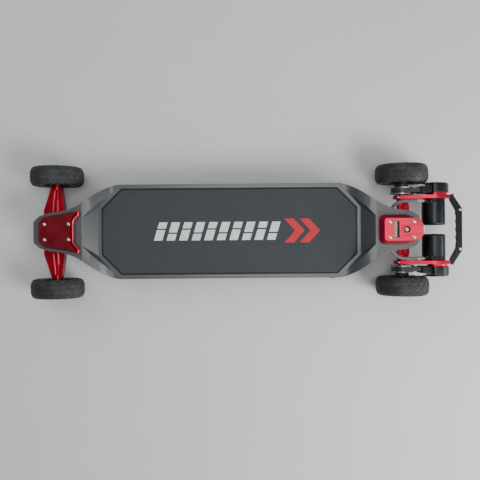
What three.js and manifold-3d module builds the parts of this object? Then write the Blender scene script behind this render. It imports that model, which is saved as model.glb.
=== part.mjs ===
// Electric skateboard: a carbon deck with a battery bay, two reverse-kingpin trucks, four pneumatic
// wheels and a belt drive on the rear truck. Millimetres. +X points to the rear, +Z up, and the
// board stands on Z = 0 with the middle of its outer size at X = 0, Y = 0.

import * as THREE from 'three';
import Module from 'manifold-3d';
import { mergeVertices } from 'three/addons/utils/BufferGeometryUtils.js';
import { ConvexGeometry } from 'three/addons/geometries/ConvexGeometry.js';

const wasm = await Module();
wasm.setup();

// ---------------------------------------------------------------------------------------------
// Driving dimensions. X is measured from the middle of the wheelbase until the last group.

const gap = 0.3; // left between pieces that touch
const past = 700; // reaches beyond the whole board
const halfWheelbase = 485.5;

const tyre = { radius: 73.5, centreY: 157, segments: 24 };
const axle = { z: tyre.radius, radius: 6, halfLength: 178, clearance: 0.3 };

const deck = {
  halfWidth: 130,
  bottomZ: 64,
  bottomHalfWidth: 102,
  sideZ: 96, // the sides lean in below this height
  platformZ: 118,
  neckTopZ: 158,
  neckBottomZ: 144,
  noseX: -525,
  tailX: 513,
  sideEndX: 305, // where the straight side edge ends and the neck curve starts
  neckX: 453,
  neckHalfWidth: 55,
  rampLowX: 320,
  rampHighX: 396,
  undersideLowX: 340,
  undersideHighX: 416,
};

// The sunk platform. Its end walls and its diagonal walls lean outwards.
const hopper = {
  floor: { x: 361, y: 66 },
  top: { x: 393.5, y: 38 },
  diagonal: { x: -45, y: 50 }, // direction of the diagonal walls
};

const lid = { halfLength: 348, halfWidth: 115, chamfer: 53, thickness: 4, grooveWidth: 3.5 };
const lidSeatZ = 112;
const gripThickness = 1.8;
const bay = { halfLength: 318, halfWidth: 90, chamfer: 30, floorZ: 68 };

const charge = { x: 285, z: 104, radius: 5.5, startY: -94, endY: -131 };

const truckBolts = { centreX: 458.5, halfLength: 32, halfWidth: 20.5 };

const frontCover = { bottomZ: deck.neckTopZ + gap, topZ: 175, bevel: 3, bevelHeight: 9 };
const cap = {
  bottomZ: deck.neckTopZ + gap,
  topZ: 185,
  baseStartX: 402,
  topStartX: 411,
  noseX: 514,
  baseHalfWidth: 40,
  topHalfWidth: 30,
};
const button = { x: 470, pitRadius: 9, pitBottomZ: 171, radius: 7.2, travel: 1.5 };
const display = { x: 443, length: 13.5, width: 43, depth: 5 };

// A truck is drawn with its axle at x = 0 and the board's middle towards +X. Its steering axis runs
// from high on the outside to low on the inside, and the kingpin is square to it.
const steer = { angle: Math.PI / 4, rake: 12, ringDistance: 26 };
const ring = { radius: 17, halfThickness: 6, bore: 8.5 };
const bushing = { radius: 13, bore: 5.4, upperEnd: 20, lowerEnd: -18.3 };
const kingpin = { radius: 5, nutRadius: 8.7, washerRadius: 12, headStart: 31, headEnd: 38, tipEnd: -35 };
const pivot = { pinRadius: 5.5, cupRadius: 8, mouth: 46, end: 58, bossEnd: 64 };
const hangerZ = { low: 62, high: 86, pocketDepth: 5 };
const hangerNeck = { roomStart: -45, neckStart: 14.5, neckEnd: 38, bossRoomStart: 40, pinStart: 30 };
const riserThickness = 5.7;
const plateThickness = 8;

const motor = { x: 571.5, z: 85, radius: 32, innerY: 12.5, canEndY: 75, faceY: 85.6 };
const mount = { innerY: 86, outerY: 96, clampRadius: 24, faceRadius: 37, shaftHoleRadius: 18 };
const boss = { endY: 102, radius: 36.5, startX: 562 }; // stands on the mount and carries the belt cover
const ear = { startX: 596, endX: 609.5, z: 104, halfHeight: 8.5 }; // where the handle screws on
const sleeve = { radius: 14, rearEndY: 98, frontEndY: 132.5 };
const belt = { centreY: 110, width: 12, thickness: 2.2, pitch: 5, wheelTeeth: 36, motorTeeth: 15 };
const cover = { radius: 41, wall: 3, startY: 102.4, endY: 129.5, cutX: 560 };
const coverNose = { startX: 534, outerY: 121.5, lowZ: 48, highZ: 108 }; // the part the belt runs in through
const handle = {
  outerX: 643,
  barX: 626,
  barHalfWidth: 58,
  footX: ear.endX + gap,
  footY: 97,
  footLength: 15,
  lowZ: 98,
  highZ: 112,
  scallops: 4,
  scallopWidth: 22,
  scallopDepth: 4,
};

// ---------------------------------------------------------------------------------------------
// Materials

function material(color, roughness, metalness) {
  return new THREE.MeshStandardMaterial({ color, roughness, metalness });
}

const carbon = material(0x202426, 0.35, 0.2);
const grip = material(0x2b3033, 0.95, 0);
const redAnodised = material(0xc41a2c, 0.35, 0.9);
const darkRedAnodised = material(0x7a1420, 0.4, 0.9);
const blackAnodised = material(0x1c1f21, 0.4, 0.8);
const blackPlastic = material(0x18191b, 0.55, 0);
const rubber = material(0x232628, 0.85, 0);
const steel = material(0x9a9fa3, 0.3, 1);
const greyMetal = material(0x5a5f63, 0.35, 0.9);
const urethane = material(0x8a1620, 0.6, 0);
const cellWrap = material(0x2a4a8a, 0.5, 0);
const circuitGreen = material(0x1f5a3a, 0.6, 0);
const displayGlass = material(0x4f7360, 0.15, 0);
const lightLens = material(0xd8d8d0, 0.2, 0);

// ---------------------------------------------------------------------------------------------
// Solids

function solid(geometry) {
  const bare = geometry.clone();
  bare.deleteAttribute('normal');
  bare.deleteAttribute('uv');
  const merged = mergeVertices(bare, 1e-4);
  return new wasm.Manifold(
    new wasm.Mesh({
      numProp: 3,
      vertProperties: new Float32Array(merged.attributes.position.array),
      triVerts: new Uint32Array(merged.index.array),
    }),
  );
}

function geometryOf(body) {
  const mesh = body.getMesh();
  const geometry = new THREE.BufferGeometry();
  geometry.setAttribute('position', new THREE.BufferAttribute(mesh.vertProperties, 3));
  geometry.setIndex(new THREE.BufferAttribute(mesh.triVerts, 1));
  geometry.computeVertexNormals();
  return geometry;
}

function box(x0, x1, y0, y1, z0, z1) {
  const geometry = new THREE.BoxGeometry(x1 - x0, y1 - y0, z1 - z0);
  return solid(geometry.translate((x0 + x1) / 2, (y0 + y1) / 2, (z0 + z1) / 2));
}

// A flat outline in the XY plane, raised from z0 to z1.
function plate(points, z0, z1) {
  const geometry = new THREE.ExtrudeGeometry(new THREE.Shape(points), {
    depth: z1 - z0,
    bevelEnabled: false,
  });
  return solid(geometry.translate(0, 0, z0));
}

// An outline of (x, z) points, extended along Y from y0 to y1.
function slab(points, y0, y1) {
  const geometry = new THREE.ExtrudeGeometry(new THREE.Shape(points), {
    depth: y1 - y0,
    bevelEnabled: false,
  });
  return solid(geometry.rotateX(Math.PI / 2).translate(0, y1, 0));
}

// Like plate, with the top edge bevelled all round.
function bevelledPlate(points, z0, z1, bevel, bevelHeight) {
  const geometry = new THREE.ExtrudeGeometry(new THREE.Shape(points), {
    depth: z1 - z0,
    bevelEnabled: true,
    bevelSize: bevel,
    bevelThickness: bevelHeight,
    bevelOffset: -bevel,
    bevelSegments: 1,
  });
  const raised = solid(geometry.translate(0, 0, z0 - bevelHeight));
  return raised.subtract(box(-past, past, -past, past, z0 - 3 * bevelHeight, z0));
}

// A turned solid about the Y axis through (x, z). Each profile point is [radius, y].
function turned(profile, x, z, segments) {
  const points = profile.map(([radius, y]) => new THREE.Vector2(radius, y));
  const closed = profile[0][0] === 0 ? points : [...points, points[0]];
  const geometry = new THREE.LatheGeometry(closed, segments, Math.PI / segments);
  return solid(geometry.translate(x, 0, z));
}

// The same profile for the side where y is positive or negative.
function turnedOnSide(profile, side, x, z, segments) {
  const mirrored = profile.map(([radius, y]) => [radius, side * y]);
  return turned(side > 0 ? mirrored : mirrored.reverse(), x, z, segments);
}

// A turned solid about an axis in the XZ plane, which starts at point and has the given direction.
function turnedAlong(profile, point, direction, segments) {
  const points = profile.map(([radius, along]) => new THREE.Vector2(radius, along));
  const closed = profile[0][0] === 0 ? points : [...points, points[0]];
  const geometry = new THREE.LatheGeometry(closed, segments, Math.PI / segments);
  const turn = new THREE.Quaternion().setFromUnitVectors(new THREE.Vector3(0, 1, 0), direction);
  return solid(geometry.applyQuaternion(turn).translate(point.x, point.y, point.z));
}

function rodProfile(radius, start, end) {
  return [[0, start], [radius, start], [radius, end], [0, end]];
}

function tubeProfile(inner, outer, start, end) {
  return [[inner, start], [outer, start], [outer, end], [inner, end]];
}

const upward = new THREE.Vector3(0, 0, 1);

function vector(x, y) {
  return new THREE.Vector2(x, y);
}

// A half outline with y >= 0, joined to its mirror image.
function mirroredOutline(half) {
  const other = half.filter((point) => point.y > 1e-6).map((point) => vector(point.x, -point.y));
  return [...half, ...other.reverse()];
}

function octagon(halfLength, halfWidth, chamfer) {
  return mirroredOutline([
    vector(-halfLength, halfWidth - chamfer),
    vector(-halfLength + chamfer, halfWidth),
    vector(halfLength - chamfer, halfWidth),
    vector(halfLength, halfWidth - chamfer),
  ]);
}

// ---------------------------------------------------------------------------------------------
// Nodes are added to named groups, so that each truck can be drawn once and turned round.

const board = new THREE.Group();

function addNode(parent, name, body, look) {
  const mesh = new THREE.Mesh(geometryOf(body), look);
  mesh.name = name;
  parent.add(mesh);
}

// ---------------------------------------------------------------------------------------------
// Deck

function deckOutline() {
  const { noseX, tailX, neckX, neckHalfWidth, sideEndX, halfWidth } = deck;
  const path = new THREE.Path();
  path.moveTo(noseX, 28);
  path.lineTo(noseX + 16, 43);
  path.lineTo(noseX + 42, 51);
  path.lineTo(-neckX, neckHalfWidth);
  path.bezierCurveTo(-385, 66, -355, 125, -sideEndX, halfWidth);
  path.lineTo(sideEndX, halfWidth);
  path.bezierCurveTo(355, 125, 385, 66, neckX, neckHalfWidth);
  path.lineTo(tailX - 30, 51);
  path.lineTo(tailX - 16, 46.5);
  path.lineTo(tailX - 5, 38);
  path.lineTo(tailX, 26);
  return mirroredOutline(path.getPoints(9));
}

// Side view of the deck: flat platform, ramps up to the nose and the tail, hollow-backed below them.
function deckSideView() {
  const { bottomZ, platformZ, neckTopZ, neckBottomZ, rampLowX, rampHighX } = deck;
  const { undersideLowX, undersideHighX } = deck;
  const path = new THREE.Path();
  path.moveTo(-past, neckBottomZ);
  path.lineTo(-undersideHighX, neckBottomZ);
  path.lineTo(-undersideLowX, bottomZ);
  path.lineTo(undersideLowX, bottomZ);
  path.lineTo(undersideHighX, neckBottomZ);
  path.lineTo(past, neckBottomZ);
  path.lineTo(past, neckTopZ);
  path.lineTo(rampHighX, neckTopZ);
  path.bezierCurveTo(rampHighX - 46, neckTopZ, rampLowX + 22, platformZ, rampLowX, platformZ);
  path.lineTo(-rampLowX, platformZ);
  path.bezierCurveTo(-rampLowX - 22, platformZ, -rampHighX + 46, neckTopZ, -rampHighX, neckTopZ);
  path.lineTo(-past, neckTopZ);
  return path.getPoints(8);
}

// The sunk platform's walls: at a height above the floor the outline has moved out in proportion.
function hopperSolid() {
  const { floor, top, diagonal } = hopper;
  const wallHeight = deck.neckTopZ - deck.platformZ;
  const points = [];
  for (const rise of [0, 1.5 * wallHeight]) {
    const share = rise / wallHeight;
    const x = floor.x + share * (top.x - floor.x);
    const y = floor.y + share * (top.y - floor.y);
    const reach = 2.2; // runs the diagonal walls past the side edges
    for (const [signX, signY] of [[1, 1], [1, -1], [-1, 1], [-1, -1]]) {
      const z = deck.platformZ + rise;
      points.push(new THREE.Vector3(signX * x, signY * y, z));
      points.push(new THREE.Vector3(signX * (x + reach * diagonal.x), signY * (y + reach * diagonal.y), z));
    }
  }
  return solid(new ConvexGeometry(points));
}

function sideLeanCutter(side) {
  const margin = 20;
  const lean = (deck.halfWidth - deck.bottomHalfWidth) / (deck.sideZ - deck.bottomZ);
  const corners = [];
  for (const x of [-past, past]) {
    corners.push(new THREE.Vector3(x, side * (deck.bottomHalfWidth - margin * lean), deck.bottomZ - margin));
    corners.push(new THREE.Vector3(x, side * (deck.halfWidth + margin * lean), deck.sideZ + margin));
    corners.push(new THREE.Vector3(x, side * (deck.halfWidth + margin * lean), deck.bottomZ - margin));
  }
  return solid(new ConvexGeometry(corners));
}

// The lid's outline, grown by a distance. Its corners' chamfers grow by less than its sides.
function lidOutline(growth) {
  return octagon(lid.halfLength + growth, lid.halfWidth + growth, lid.chamfer + 0.4 * growth);
}

function deckShell() {
  let shell = plate(deckOutline(), deck.bottomZ - 4, deck.neckTopZ + 4);
  shell = shell.intersect(slab(deckSideView(), -deck.halfWidth - 20, deck.halfWidth + 20));
  shell = shell.subtract(hopperSolid());
  for (const side of [-1, 1]) {
    shell = shell.subtract(sideLeanCutter(side));
  }
  shell = shell.subtract(plate(lidOutline(lid.grooveWidth), lidSeatZ, deck.platformZ + 10));
  const bayOutline = octagon(bay.halfLength, bay.halfWidth, bay.chamfer);
  shell = shell.subtract(plate(bayOutline, bay.floorZ, lidSeatZ + 1));
  const socketHole = turned(rodProfile(charge.radius + gap, -140, -80), charge.x, charge.z, 12);
  return shell.subtract(socketHole);
}

addNode(board, 'deck_shell', deckShell(), carbon);

// ---------------------------------------------------------------------------------------------
// Battery bay

const lidBottomZ = lidSeatZ + gap;
const lidTopZ = lidBottomZ + lid.thickness;
const gripBottomZ = lidTopZ + gap;

addNode(board, 'top_lid', plate(lidOutline(0), lidBottomZ, lidTopZ), blackPlastic);
addNode(board, 'grip_sheet', plate(lidOutline(-0.6), gripBottomZ, gripBottomZ + gripThickness), grip);

function gasketSolid() {
  const outer = plate(lidOutline(lid.grooveWidth - gap), lidBottomZ, lidTopZ);
  return outer.subtract(plate(lidOutline(gap), lidBottomZ - 1, lidTopZ + 1));
}

addNode(board, 'lid_gasket', gasketSolid(), rubber);

const bayFloor = bay.floorZ + gap;
addNode(board, 'battery_pack', box(-290, 110, -80, 80, bayFloor, bayFloor + 38), cellWrap);
addNode(board, 'battery_board', box(118, 142, -60, 60, bayFloor, bayFloor + 16), circuitGreen);
addNode(board, 'motor_controller', box(150, 262, -62, 62, bayFloor, bayFloor + 30), blackAnodised);
addNode(
  board,
  'charge_socket',
  turned(rodProfile(charge.radius, charge.endY, charge.startY), charge.x, charge.z, 12),
  blackPlastic,
);

// ---------------------------------------------------------------------------------------------
// Covers on the nose and the tail

function boltHoles(body, side, topZ) {
  let drilled = body;
  for (const alongX of [-1, 1]) {
    for (const alongY of [-1, 1]) {
      const x = side * truckBolts.centreX + alongX * truckBolts.halfLength;
      const y = alongY * truckBolts.halfWidth;
      const hole = turnedAlong(rodProfile(5.2, -3, 3), new THREE.Vector3(x, y, topZ), upward, 12);
      drilled = drilled.subtract(hole);
    }
  }
  return drilled;
}

// The front cover widens towards the deck, where its end is hollow between two rounded horns.
function frontCoverSolid() {
  const path = new THREE.Path();
  path.moveTo(-508.5, 27);
  path.lineTo(-496, 40);
  path.lineTo(-408, 54.5);
  path.quadraticCurveTo(-403, 54.5, -403.5, 50);
  path.quadraticCurveTo(-404.5, 45.5, -409, 42);
  path.lineTo(-415.5, 34);
  path.quadraticCurveTo(-418.5, 30.5, -418.5, 26);
  const outline = mirroredOutline(path.getPoints(4));
  const { bottomZ, topZ, bevel, bevelHeight } = frontCover;
  return boltHoles(bevelledPlate(outline, bottomZ, topZ, bevel, bevelHeight), -1, topZ);
}

addNode(board, 'front_cover', frontCoverSolid(), darkRedAnodised);

// Half outline of the rear cap: rounded front corner, straight side, bullet nose.
function capOutline(startX, halfWidth, corner, noseStartX, noseHalfWidth) {
  const path = new THREE.Path();
  path.moveTo(startX, halfWidth - corner);
  path.quadraticCurveTo(startX, halfWidth, startX + corner, halfWidth);
  path.lineTo(noseStartX, halfWidth);
  path.quadraticCurveTo(noseStartX + 18, halfWidth, cap.noseX, noseHalfWidth);
  return mirroredOutline(path.getPoints(5));
}

function rearCapSolid() {
  const base = capOutline(cap.baseStartX, cap.baseHalfWidth, 18, 472, 13);
  const top = capOutline(cap.topStartX, cap.topHalfWidth, 9, 488, 11.5);
  const points = [
    ...base.map((point) => new THREE.Vector3(point.x, point.y, cap.bottomZ)),
    ...top.map((point) => new THREE.Vector3(point.x, point.y, cap.topZ)),
  ];
  let body = solid(new ConvexGeometry(points));
  const centre = new THREE.Vector3(button.x, 0, cap.topZ);
  const halfLength = display.length / 2;
  const halfWidth = display.width / 2;
  const window = box(
    display.x - halfLength,
    display.x + halfLength,
    -halfWidth,
    halfWidth,
    cap.topZ - display.depth,
    cap.topZ + 1,
  );
  body = body.subtract(window);
  const grooveDepth = 2.4;
  const tongueHalfWidth = 10.8;
  const tongue = box(button.x, cap.noseX + 5, -tongueHalfWidth, tongueHalfWidth, cap.topZ - 5, cap.topZ + 5);
  const ringGroove = turnedAlong(tubeProfile(12.8, 16.2, -grooveDepth, 2), centre, upward, 28);
  body = body.subtract(ringGroove.subtract(tongue));
  for (const side of [-1, 1]) {
    const y0 = Math.min(side * tongueHalfWidth, side * (tongueHalfWidth + 1.4));
    const groove = box(button.x + 12, cap.noseX + 5, y0, y0 + 1.4, cap.topZ - grooveDepth, cap.topZ + 2);
    body = body.subtract(groove);
  }
  const pit = turnedAlong(rodProfile(button.pitRadius, button.pitBottomZ - cap.topZ, 2), centre, upward, 24);
  body = body.subtract(pit);
  return boltHoles(body, 1, cap.topZ);
}

addNode(board, 'rear_cap', rearCapSolid(), redAnodised);
addNode(
  board,
  'display_window',
  box(
    display.x - display.length / 2 + gap,
    display.x + display.length / 2 - gap,
    -display.width / 2 + gap,
    display.width / 2 - gap,
    cap.topZ - display.depth + gap,
    cap.topZ - 1.6,
  ),
  displayGlass,
);

const buttonFoot = new THREE.Vector3(button.x, 0, 0);
const bezelProfile = tubeProfile(7.6, button.pitRadius - gap, button.pitBottomZ + gap, cap.topZ - 1);
addNode(board, 'button_bezel', turnedAlong(bezelProfile, buttonFoot, upward, 24), blackAnodised);
const buttonLow = button.pitBottomZ + 2 * button.travel;
const buttonDome = [
  [0, buttonLow],
  [button.radius, buttonLow],
  [button.radius, cap.topZ - 3.4],
  [5.4, cap.topZ - 1.6],
  [2.8, cap.topZ - 0.7],
  [0, cap.topZ - 0.4],
];
addNode(board, 'power_button', turnedAlong(buttonDome, buttonFoot, upward, 20), steel);
const tailLight = box(cap.noseX + gap, cap.noseX + 2.6, -9, 9, cap.topZ - 8, cap.topZ - 0.5);
addNode(board, 'tail_light', tailLight, lightLens);

// ---------------------------------------------------------------------------------------------
// Trucks. Points of the steering mechanism are given as (t, k): t along the steering axis, k along
// the kingpin, both from the middle of the hanger's ring.

const alongSteer = new THREE.Vector3(Math.cos(steer.angle), 0, -Math.sin(steer.angle));
const alongKingpin = new THREE.Vector3(Math.sin(steer.angle), 0, Math.cos(steer.angle));
const ringCentre = new THREE.Vector3(0, 0, axle.z)
  .addScaledVector(alongKingpin, steer.rake)
  .addScaledVector(alongSteer, -steer.ringDistance);

function steerPoint(t, k) {
  return ringCentre.clone().addScaledVector(alongSteer, t).addScaledVector(alongKingpin, k);
}

function steerPoint2(t, k) {
  const point = steerPoint(t, k);
  return vector(point.x, point.z);
}

function steerBox(t0, t1, k0, k1, halfWidth) {
  const corners = [steerPoint2(t0, k0), steerPoint2(t1, k0), steerPoint2(t1, k1), steerPoint2(t0, k1)];
  return slab(corners, -halfWidth, halfWidth);
}

const boltCentreX = halfWheelbase - truckBolts.centreX;
const basePlate = { x0: boltCentreX - 43, x1: boltCentreX + 41, halfWidth: 29 };
const riserTopZ = deck.neckBottomZ - gap;
const riserBottomZ = riserTopZ - riserThickness;
const plateTopZ = riserBottomZ - gap;
const plateBottomZ = plateTopZ - plateThickness;

function plateCorners(chamfer) {
  const { x0, x1, halfWidth } = basePlate;
  return mirroredOutline([
    vector(x0, halfWidth - chamfer),
    vector(x0 + chamfer, halfWidth),
    vector(x1 - chamfer, halfWidth),
    vector(x1, halfWidth - chamfer),
  ]);
}

function baseplateSolid() {
  const wedgeHalfWidth = 18;
  const faceK = bushing.upperEnd + gap;
  const wedge = [
    vector(steerPoint(-21, faceK).x, plateTopZ - 1),
    steerPoint2(-21, faceK),
    steerPoint2(pivot.mouth, faceK),
    steerPoint2(pivot.mouth, -11),
    steerPoint2(pivot.bossEnd, -11),
    steerPoint2(pivot.bossEnd, 24),
    vector(basePlate.x1 - 8, plateTopZ - 1),
  ];
  let body = plate(plateCorners(6), plateBottomZ, plateTopZ);
  body = body.add(slab(wedge, -wedgeHalfWidth, wedgeHalfWidth));
  const cupHole = rodProfile(pivot.cupRadius + gap, pivot.mouth - 5, pivot.end + 2 + gap);
  body = body.subtract(turnedAlong(cupHole, ringCentre, alongSteer, 20));
  const boltHole = rodProfile(kingpin.radius + gap, 5, 60);
  body = body.subtract(turnedAlong(boltHole, ringCentre, alongKingpin, 16));
  const headRecess = rodProfile(kingpin.nutRadius + gap, kingpin.headStart, 80);
  return body.subtract(turnedAlong(headRecess, ringCentre, alongKingpin, 16));
}

function kingpinSolid() {
  const { radius, nutRadius, washerRadius, headStart, headEnd, tipEnd } = kingpin;
  const washerTop = bushing.lowerEnd - gap;
  const profile = [
    [0, tipEnd],
    [radius, tipEnd],
    [radius, tipEnd + 3],
    [nutRadius, tipEnd + 3],
    [nutRadius, washerTop - 2.4],
    [washerRadius, washerTop - 2.4],
    [washerRadius, washerTop],
    [radius, washerTop],
    [radius, headStart + gap],
    [nutRadius, headStart + gap],
    [nutRadius, headEnd],
    [0, headEnd],
  ];
  return turnedAlong(profile, ringCentre, alongKingpin, 12);
}

function bushingSolid(start, end) {
  const waist = (start + end) / 2;
  const profile = [
    [bushing.bore, start],
    [bushing.radius - 0.8, start],
    [bushing.radius, waist],
    [bushing.radius - 0.8, end],
    [bushing.bore, end],
  ];
  return turnedAlong(profile, ringCentre, alongKingpin, 16);
}

function pivotCupSolid() {
  const inner = pivot.pinRadius + gap;
  const profile = [
    [0, pivot.end],
    [inner, pivot.end],
    [inner, pivot.mouth + gap],
    [pivot.cupRadius, pivot.mouth + gap],
    [pivot.cupRadius, pivot.end + 2],
    [0, pivot.end + 2],
  ];
  return turnedAlong(profile, ringCentre, alongSteer, 16);
}

// Lightening pockets in the top of a hanger's arm, between lengthwise ridges. The arm's middle and
// its half width at the inner and the outer end set how they taper, and the edges are shares of it.
function armPockets(side, { inner, outer, edges }) {
  const ridge = 0.11; // half a ridge, as a share of the arm's half width
  const corner = (end, share) => vector(end.middle + share * end.halfWidth, side * end.y);
  const pockets = [];
  for (let i = 0; i < edges.length - 1; i += 1) {
    const low = edges[i] + (i > 0 ? ridge : 0);
    const high = edges[i + 1] - (i < edges.length - 2 ? ridge : 0);
    const corners = [corner(inner, low), corner(inner, high), corner(outer, high), corner(outer, low)];
    pockets.push(plate(corners, hangerZ.high - hangerZ.pocketDepth, hangerZ.high + 5));
  }
  return pockets;
}

// The hanger: two arms, a ring round the kingpin, a pin for the pivot cup and a bore for the axle.
function hangerSolid(armHalfOutline, sleeveEndY, pockets) {
  let body = plate(mirroredOutline(armHalfOutline), hangerZ.low, hangerZ.high);
  body = body.add(turned(rodProfile(sleeve.radius, -sleeveEndY, sleeveEndY), 0, axle.z, 16));
  for (const side of [-1, 1]) {
    for (const pocket of armPockets(side, pockets)) {
      body = body.subtract(pocket);
    }
  }
  const { halfThickness } = ring;
  const { roomStart, neckStart, neckEnd, bossRoomStart } = hangerNeck;
  // Room for the lower bushing, for the upper one and the baseplate, and for the pivot cup's boss.
  body = body.subtract(steerBox(roomStart, neckStart, -70, -halfThickness - gap, 20));
  body = body.subtract(steerBox(roomStart, neckStart, -halfThickness - 1, 30, 40));
  body = body.subtract(steerBox(bossRoomStart, 90, -40, 60, 24));
  // The neck that joins the ring to the arms, and the ring itself.
  body = body.add(steerBox(neckStart + gap, neckEnd, -26, -2, 22));
  body = body.add(steerBox(neckStart - gap, neckEnd, -8, halfThickness, 12));
  const ringBody = rodProfile(ring.radius, -halfThickness, halfThickness);
  body = body.add(turnedAlong(ringBody, ringCentre, alongKingpin, 20));
  const pin = rodProfile(pivot.pinRadius, hangerNeck.pinStart, pivot.end - gap);
  body = body.add(turnedAlong(pin, ringCentre, alongSteer, 12));
  body = body.subtract(turnedAlong(rodProfile(ring.bore, -30, 30), ringCentre, alongKingpin, 16));
  const bore = rodProfile(axle.radius + axle.clearance, -sleeveEndY - 5, sleeveEndY + 5);
  return body.subtract(turned(bore, 0, axle.z, 12));
}

function frontHangerSolid() {
  const outline = [
    vector(-20, 0),
    vector(-22, 24),
    vector(-34, 46),
    vector(-35, 60),
    vector(-15, 122),
    vector(-13, 130),
    vector(13, 130),
    vector(15, 122),
    vector(22, 72),
    vector(21, 46),
    vector(9, 30),
    vector(9, 0),
  ];
  return hangerSolid(outline, sleeve.frontEndY, {
    inner: { y: 60, middle: -6.5, halfWidth: 28.5 },
    outer: { y: 119, middle: 0, halfWidth: 15.5 },
    edges: [-0.86, -0.1, 0.42, 0.86],
  });
}

function rearHangerSolid() {
  const outline = [
    vector(-20, 0),
    vector(-20, 24),
    vector(-18, 68),
    vector(-13, 80),
    vector(13, 80),
    vector(12, 68),
    vector(10, 46),
    vector(9, 30),
    vector(9, 0),
  ];
  return hangerSolid(outline, sleeve.rearEndY, {
    inner: { y: 44, middle: -4.5, halfWidth: 14.5 },
    outer: { y: 70, middle: -3, halfWidth: 14.5 },
    edges: [-0.8, 0.05, 0.8],
  });
}

function truckGroup(end, turn) {
  const truck = new THREE.Group();
  truck.position.x = end === 'front' ? -halfWheelbase : halfWheelbase;
  truck.rotation.z = turn;
  board.add(truck);
  const plan = plateCorners(6);
  addNode(truck, `${end}_riser`, plate(plan, riserBottomZ, riserTopZ), rubber);
  addNode(truck, `${end}_baseplate`, baseplateSolid(), blackAnodised);
  addNode(truck, `${end}_kingpin`, kingpinSolid(), steel);
  const upperStart = ring.halfThickness + gap;
  addNode(truck, `${end}_upper_bushing`, bushingSolid(upperStart, bushing.upperEnd), urethane);
  addNode(truck, `${end}_lower_bushing`, bushingSolid(bushing.lowerEnd, -upperStart), urethane);
  addNode(truck, `${end}_pivot_cup`, pivotCupSolid(), blackPlastic);
  addNode(truck, `${end}_hanger`, end === 'front' ? frontHangerSolid() : rearHangerSolid(), redAnodised);
  const axleProfile = rodProfile(axle.radius, -axle.halfLength, axle.halfLength);
  addNode(truck, `${end}_axle`, turned(axleProfile, 0, axle.z, 12), steel);
}

truckGroup('front', 0);
truckGroup('rear', Math.PI);

// ---------------------------------------------------------------------------------------------
// Wheels

// The tyre's flats face straight down and its points lie a little outside the nominal radius.
const crown = tyre.radius / Math.cos(Math.PI / tyre.segments);
const tyreProfile = [
  [44, -19],
  [54, -25.5],
  [66, -24],
  [crown - 1.6, -15],
  [crown, -6],
  [crown, 6],
  [crown - 1.6, 15],
  [66, 24],
  [54, 25.5],
  [44, 19],
  [44, 13],
  [66, 15],
  [66, -15],
  [44, -13],
];
const rimProfile = [
  [14.3, -23.5],
  [19, -23.5],
  [21, -4],
  [39.5, -4],
  [40, -24],
  [46.8, -24],
  [46.8, -22.1],
  [43.1, -19.5],
  [43.1, 19.5],
  [46.8, 22.1],
  [46.8, 24],
  [40, 24],
  [39.5, 4],
  [21, 4],
  [19, 19],
  [14.3, 19],
];
const bearingProfile = [
  [6.3, -18],
  [14, -18],
  [14, -10],
  [9, -10],
  [9, 10],
  [14, 10],
  [14, 18],
  [6.3, 18],
];

function moved(profile, distance) {
  return profile.map(([radius, y]) => [radius, y + distance]);
}

const sides = [['left', -1], ['right', 1]];

for (const [end, endX] of [['front', -halfWheelbase], ['rear', halfWheelbase]]) {
  for (const [sideName, side] of sides) {
    const name = `${end}_${sideName}`;
    const parts = [
      ['tyre', tyreProfile, tyre.segments, rubber],
      ['rim', rimProfile, 20, blackAnodised],
      ['bearings', bearingProfile, 12, steel],
    ];
    for (const [part, profile, segments, look] of parts) {
      const body = turnedOnSide(moved(profile, tyre.centreY), side, endX, axle.z, segments);
      addNode(board, `${name}_${part}`, body, look);
    }
  }
}

// ---------------------------------------------------------------------------------------------
// Belt drive. The belt runs smooth on its pulleys, half a millimetre clear of them.

const beltGap = 0.5;
const pitchRadius = (teeth) => (teeth * belt.pitch) / (2 * Math.PI);
const wheelBeltRadius = pitchRadius(belt.wheelTeeth) - 0.9;
const motorBeltRadius = pitchRadius(belt.motorTeeth) - 0.9;
const beltStartY = belt.centreY - belt.width / 2;
const beltEndY = belt.centreY + belt.width / 2;
const driveAxis = vector(motor.x - halfWheelbase, motor.z - axle.z);

// A loop round two circles: one at the wheel's axle and one at the motor's shaft.
function beltLoop(offset) {
  const big = wheelBeltRadius + offset;
  const small = motorBeltRadius + offset;
  const lean = driveAxis.angle();
  const wrap = Math.acos((big - small) / driveAxis.length());
  const points = [];
  const arc = (x, z, radius, from, to, steps) => {
    for (let i = 0; i <= steps; i += 1) {
      const angle = from + ((to - from) * i) / steps;
      points.push(vector(x + radius * Math.cos(angle), z + radius * Math.sin(angle)));
    }
  };
  arc(halfWheelbase, axle.z, big, lean + wrap, lean + 2 * Math.PI - wrap, 20);
  arc(motor.x, motor.z, small, lean - wrap, lean + wrap, 10);
  return points;
}

// The slab between two y values, whichever side of the board it is on.
function sideSlab(points, side, startY, endY) {
  return side > 0 ? slab(points, startY, endY) : slab(points, -endY, -startY);
}

function beltSolid(side) {
  const outer = sideSlab(beltLoop(belt.thickness), side, beltStartY, beltEndY);
  return outer.subtract(sideSlab(beltLoop(0), side, beltStartY - 1, beltEndY + 1));
}

function circlePoints(x, z, radius, count) {
  const points = [];
  for (let i = 0; i < count; i += 1) {
    const angle = (2 * Math.PI * (i + 0.5)) / count;
    points.push(vector(x + radius * Math.cos(angle), z + radius * Math.sin(angle)));
  }
  return points;
}

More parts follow.
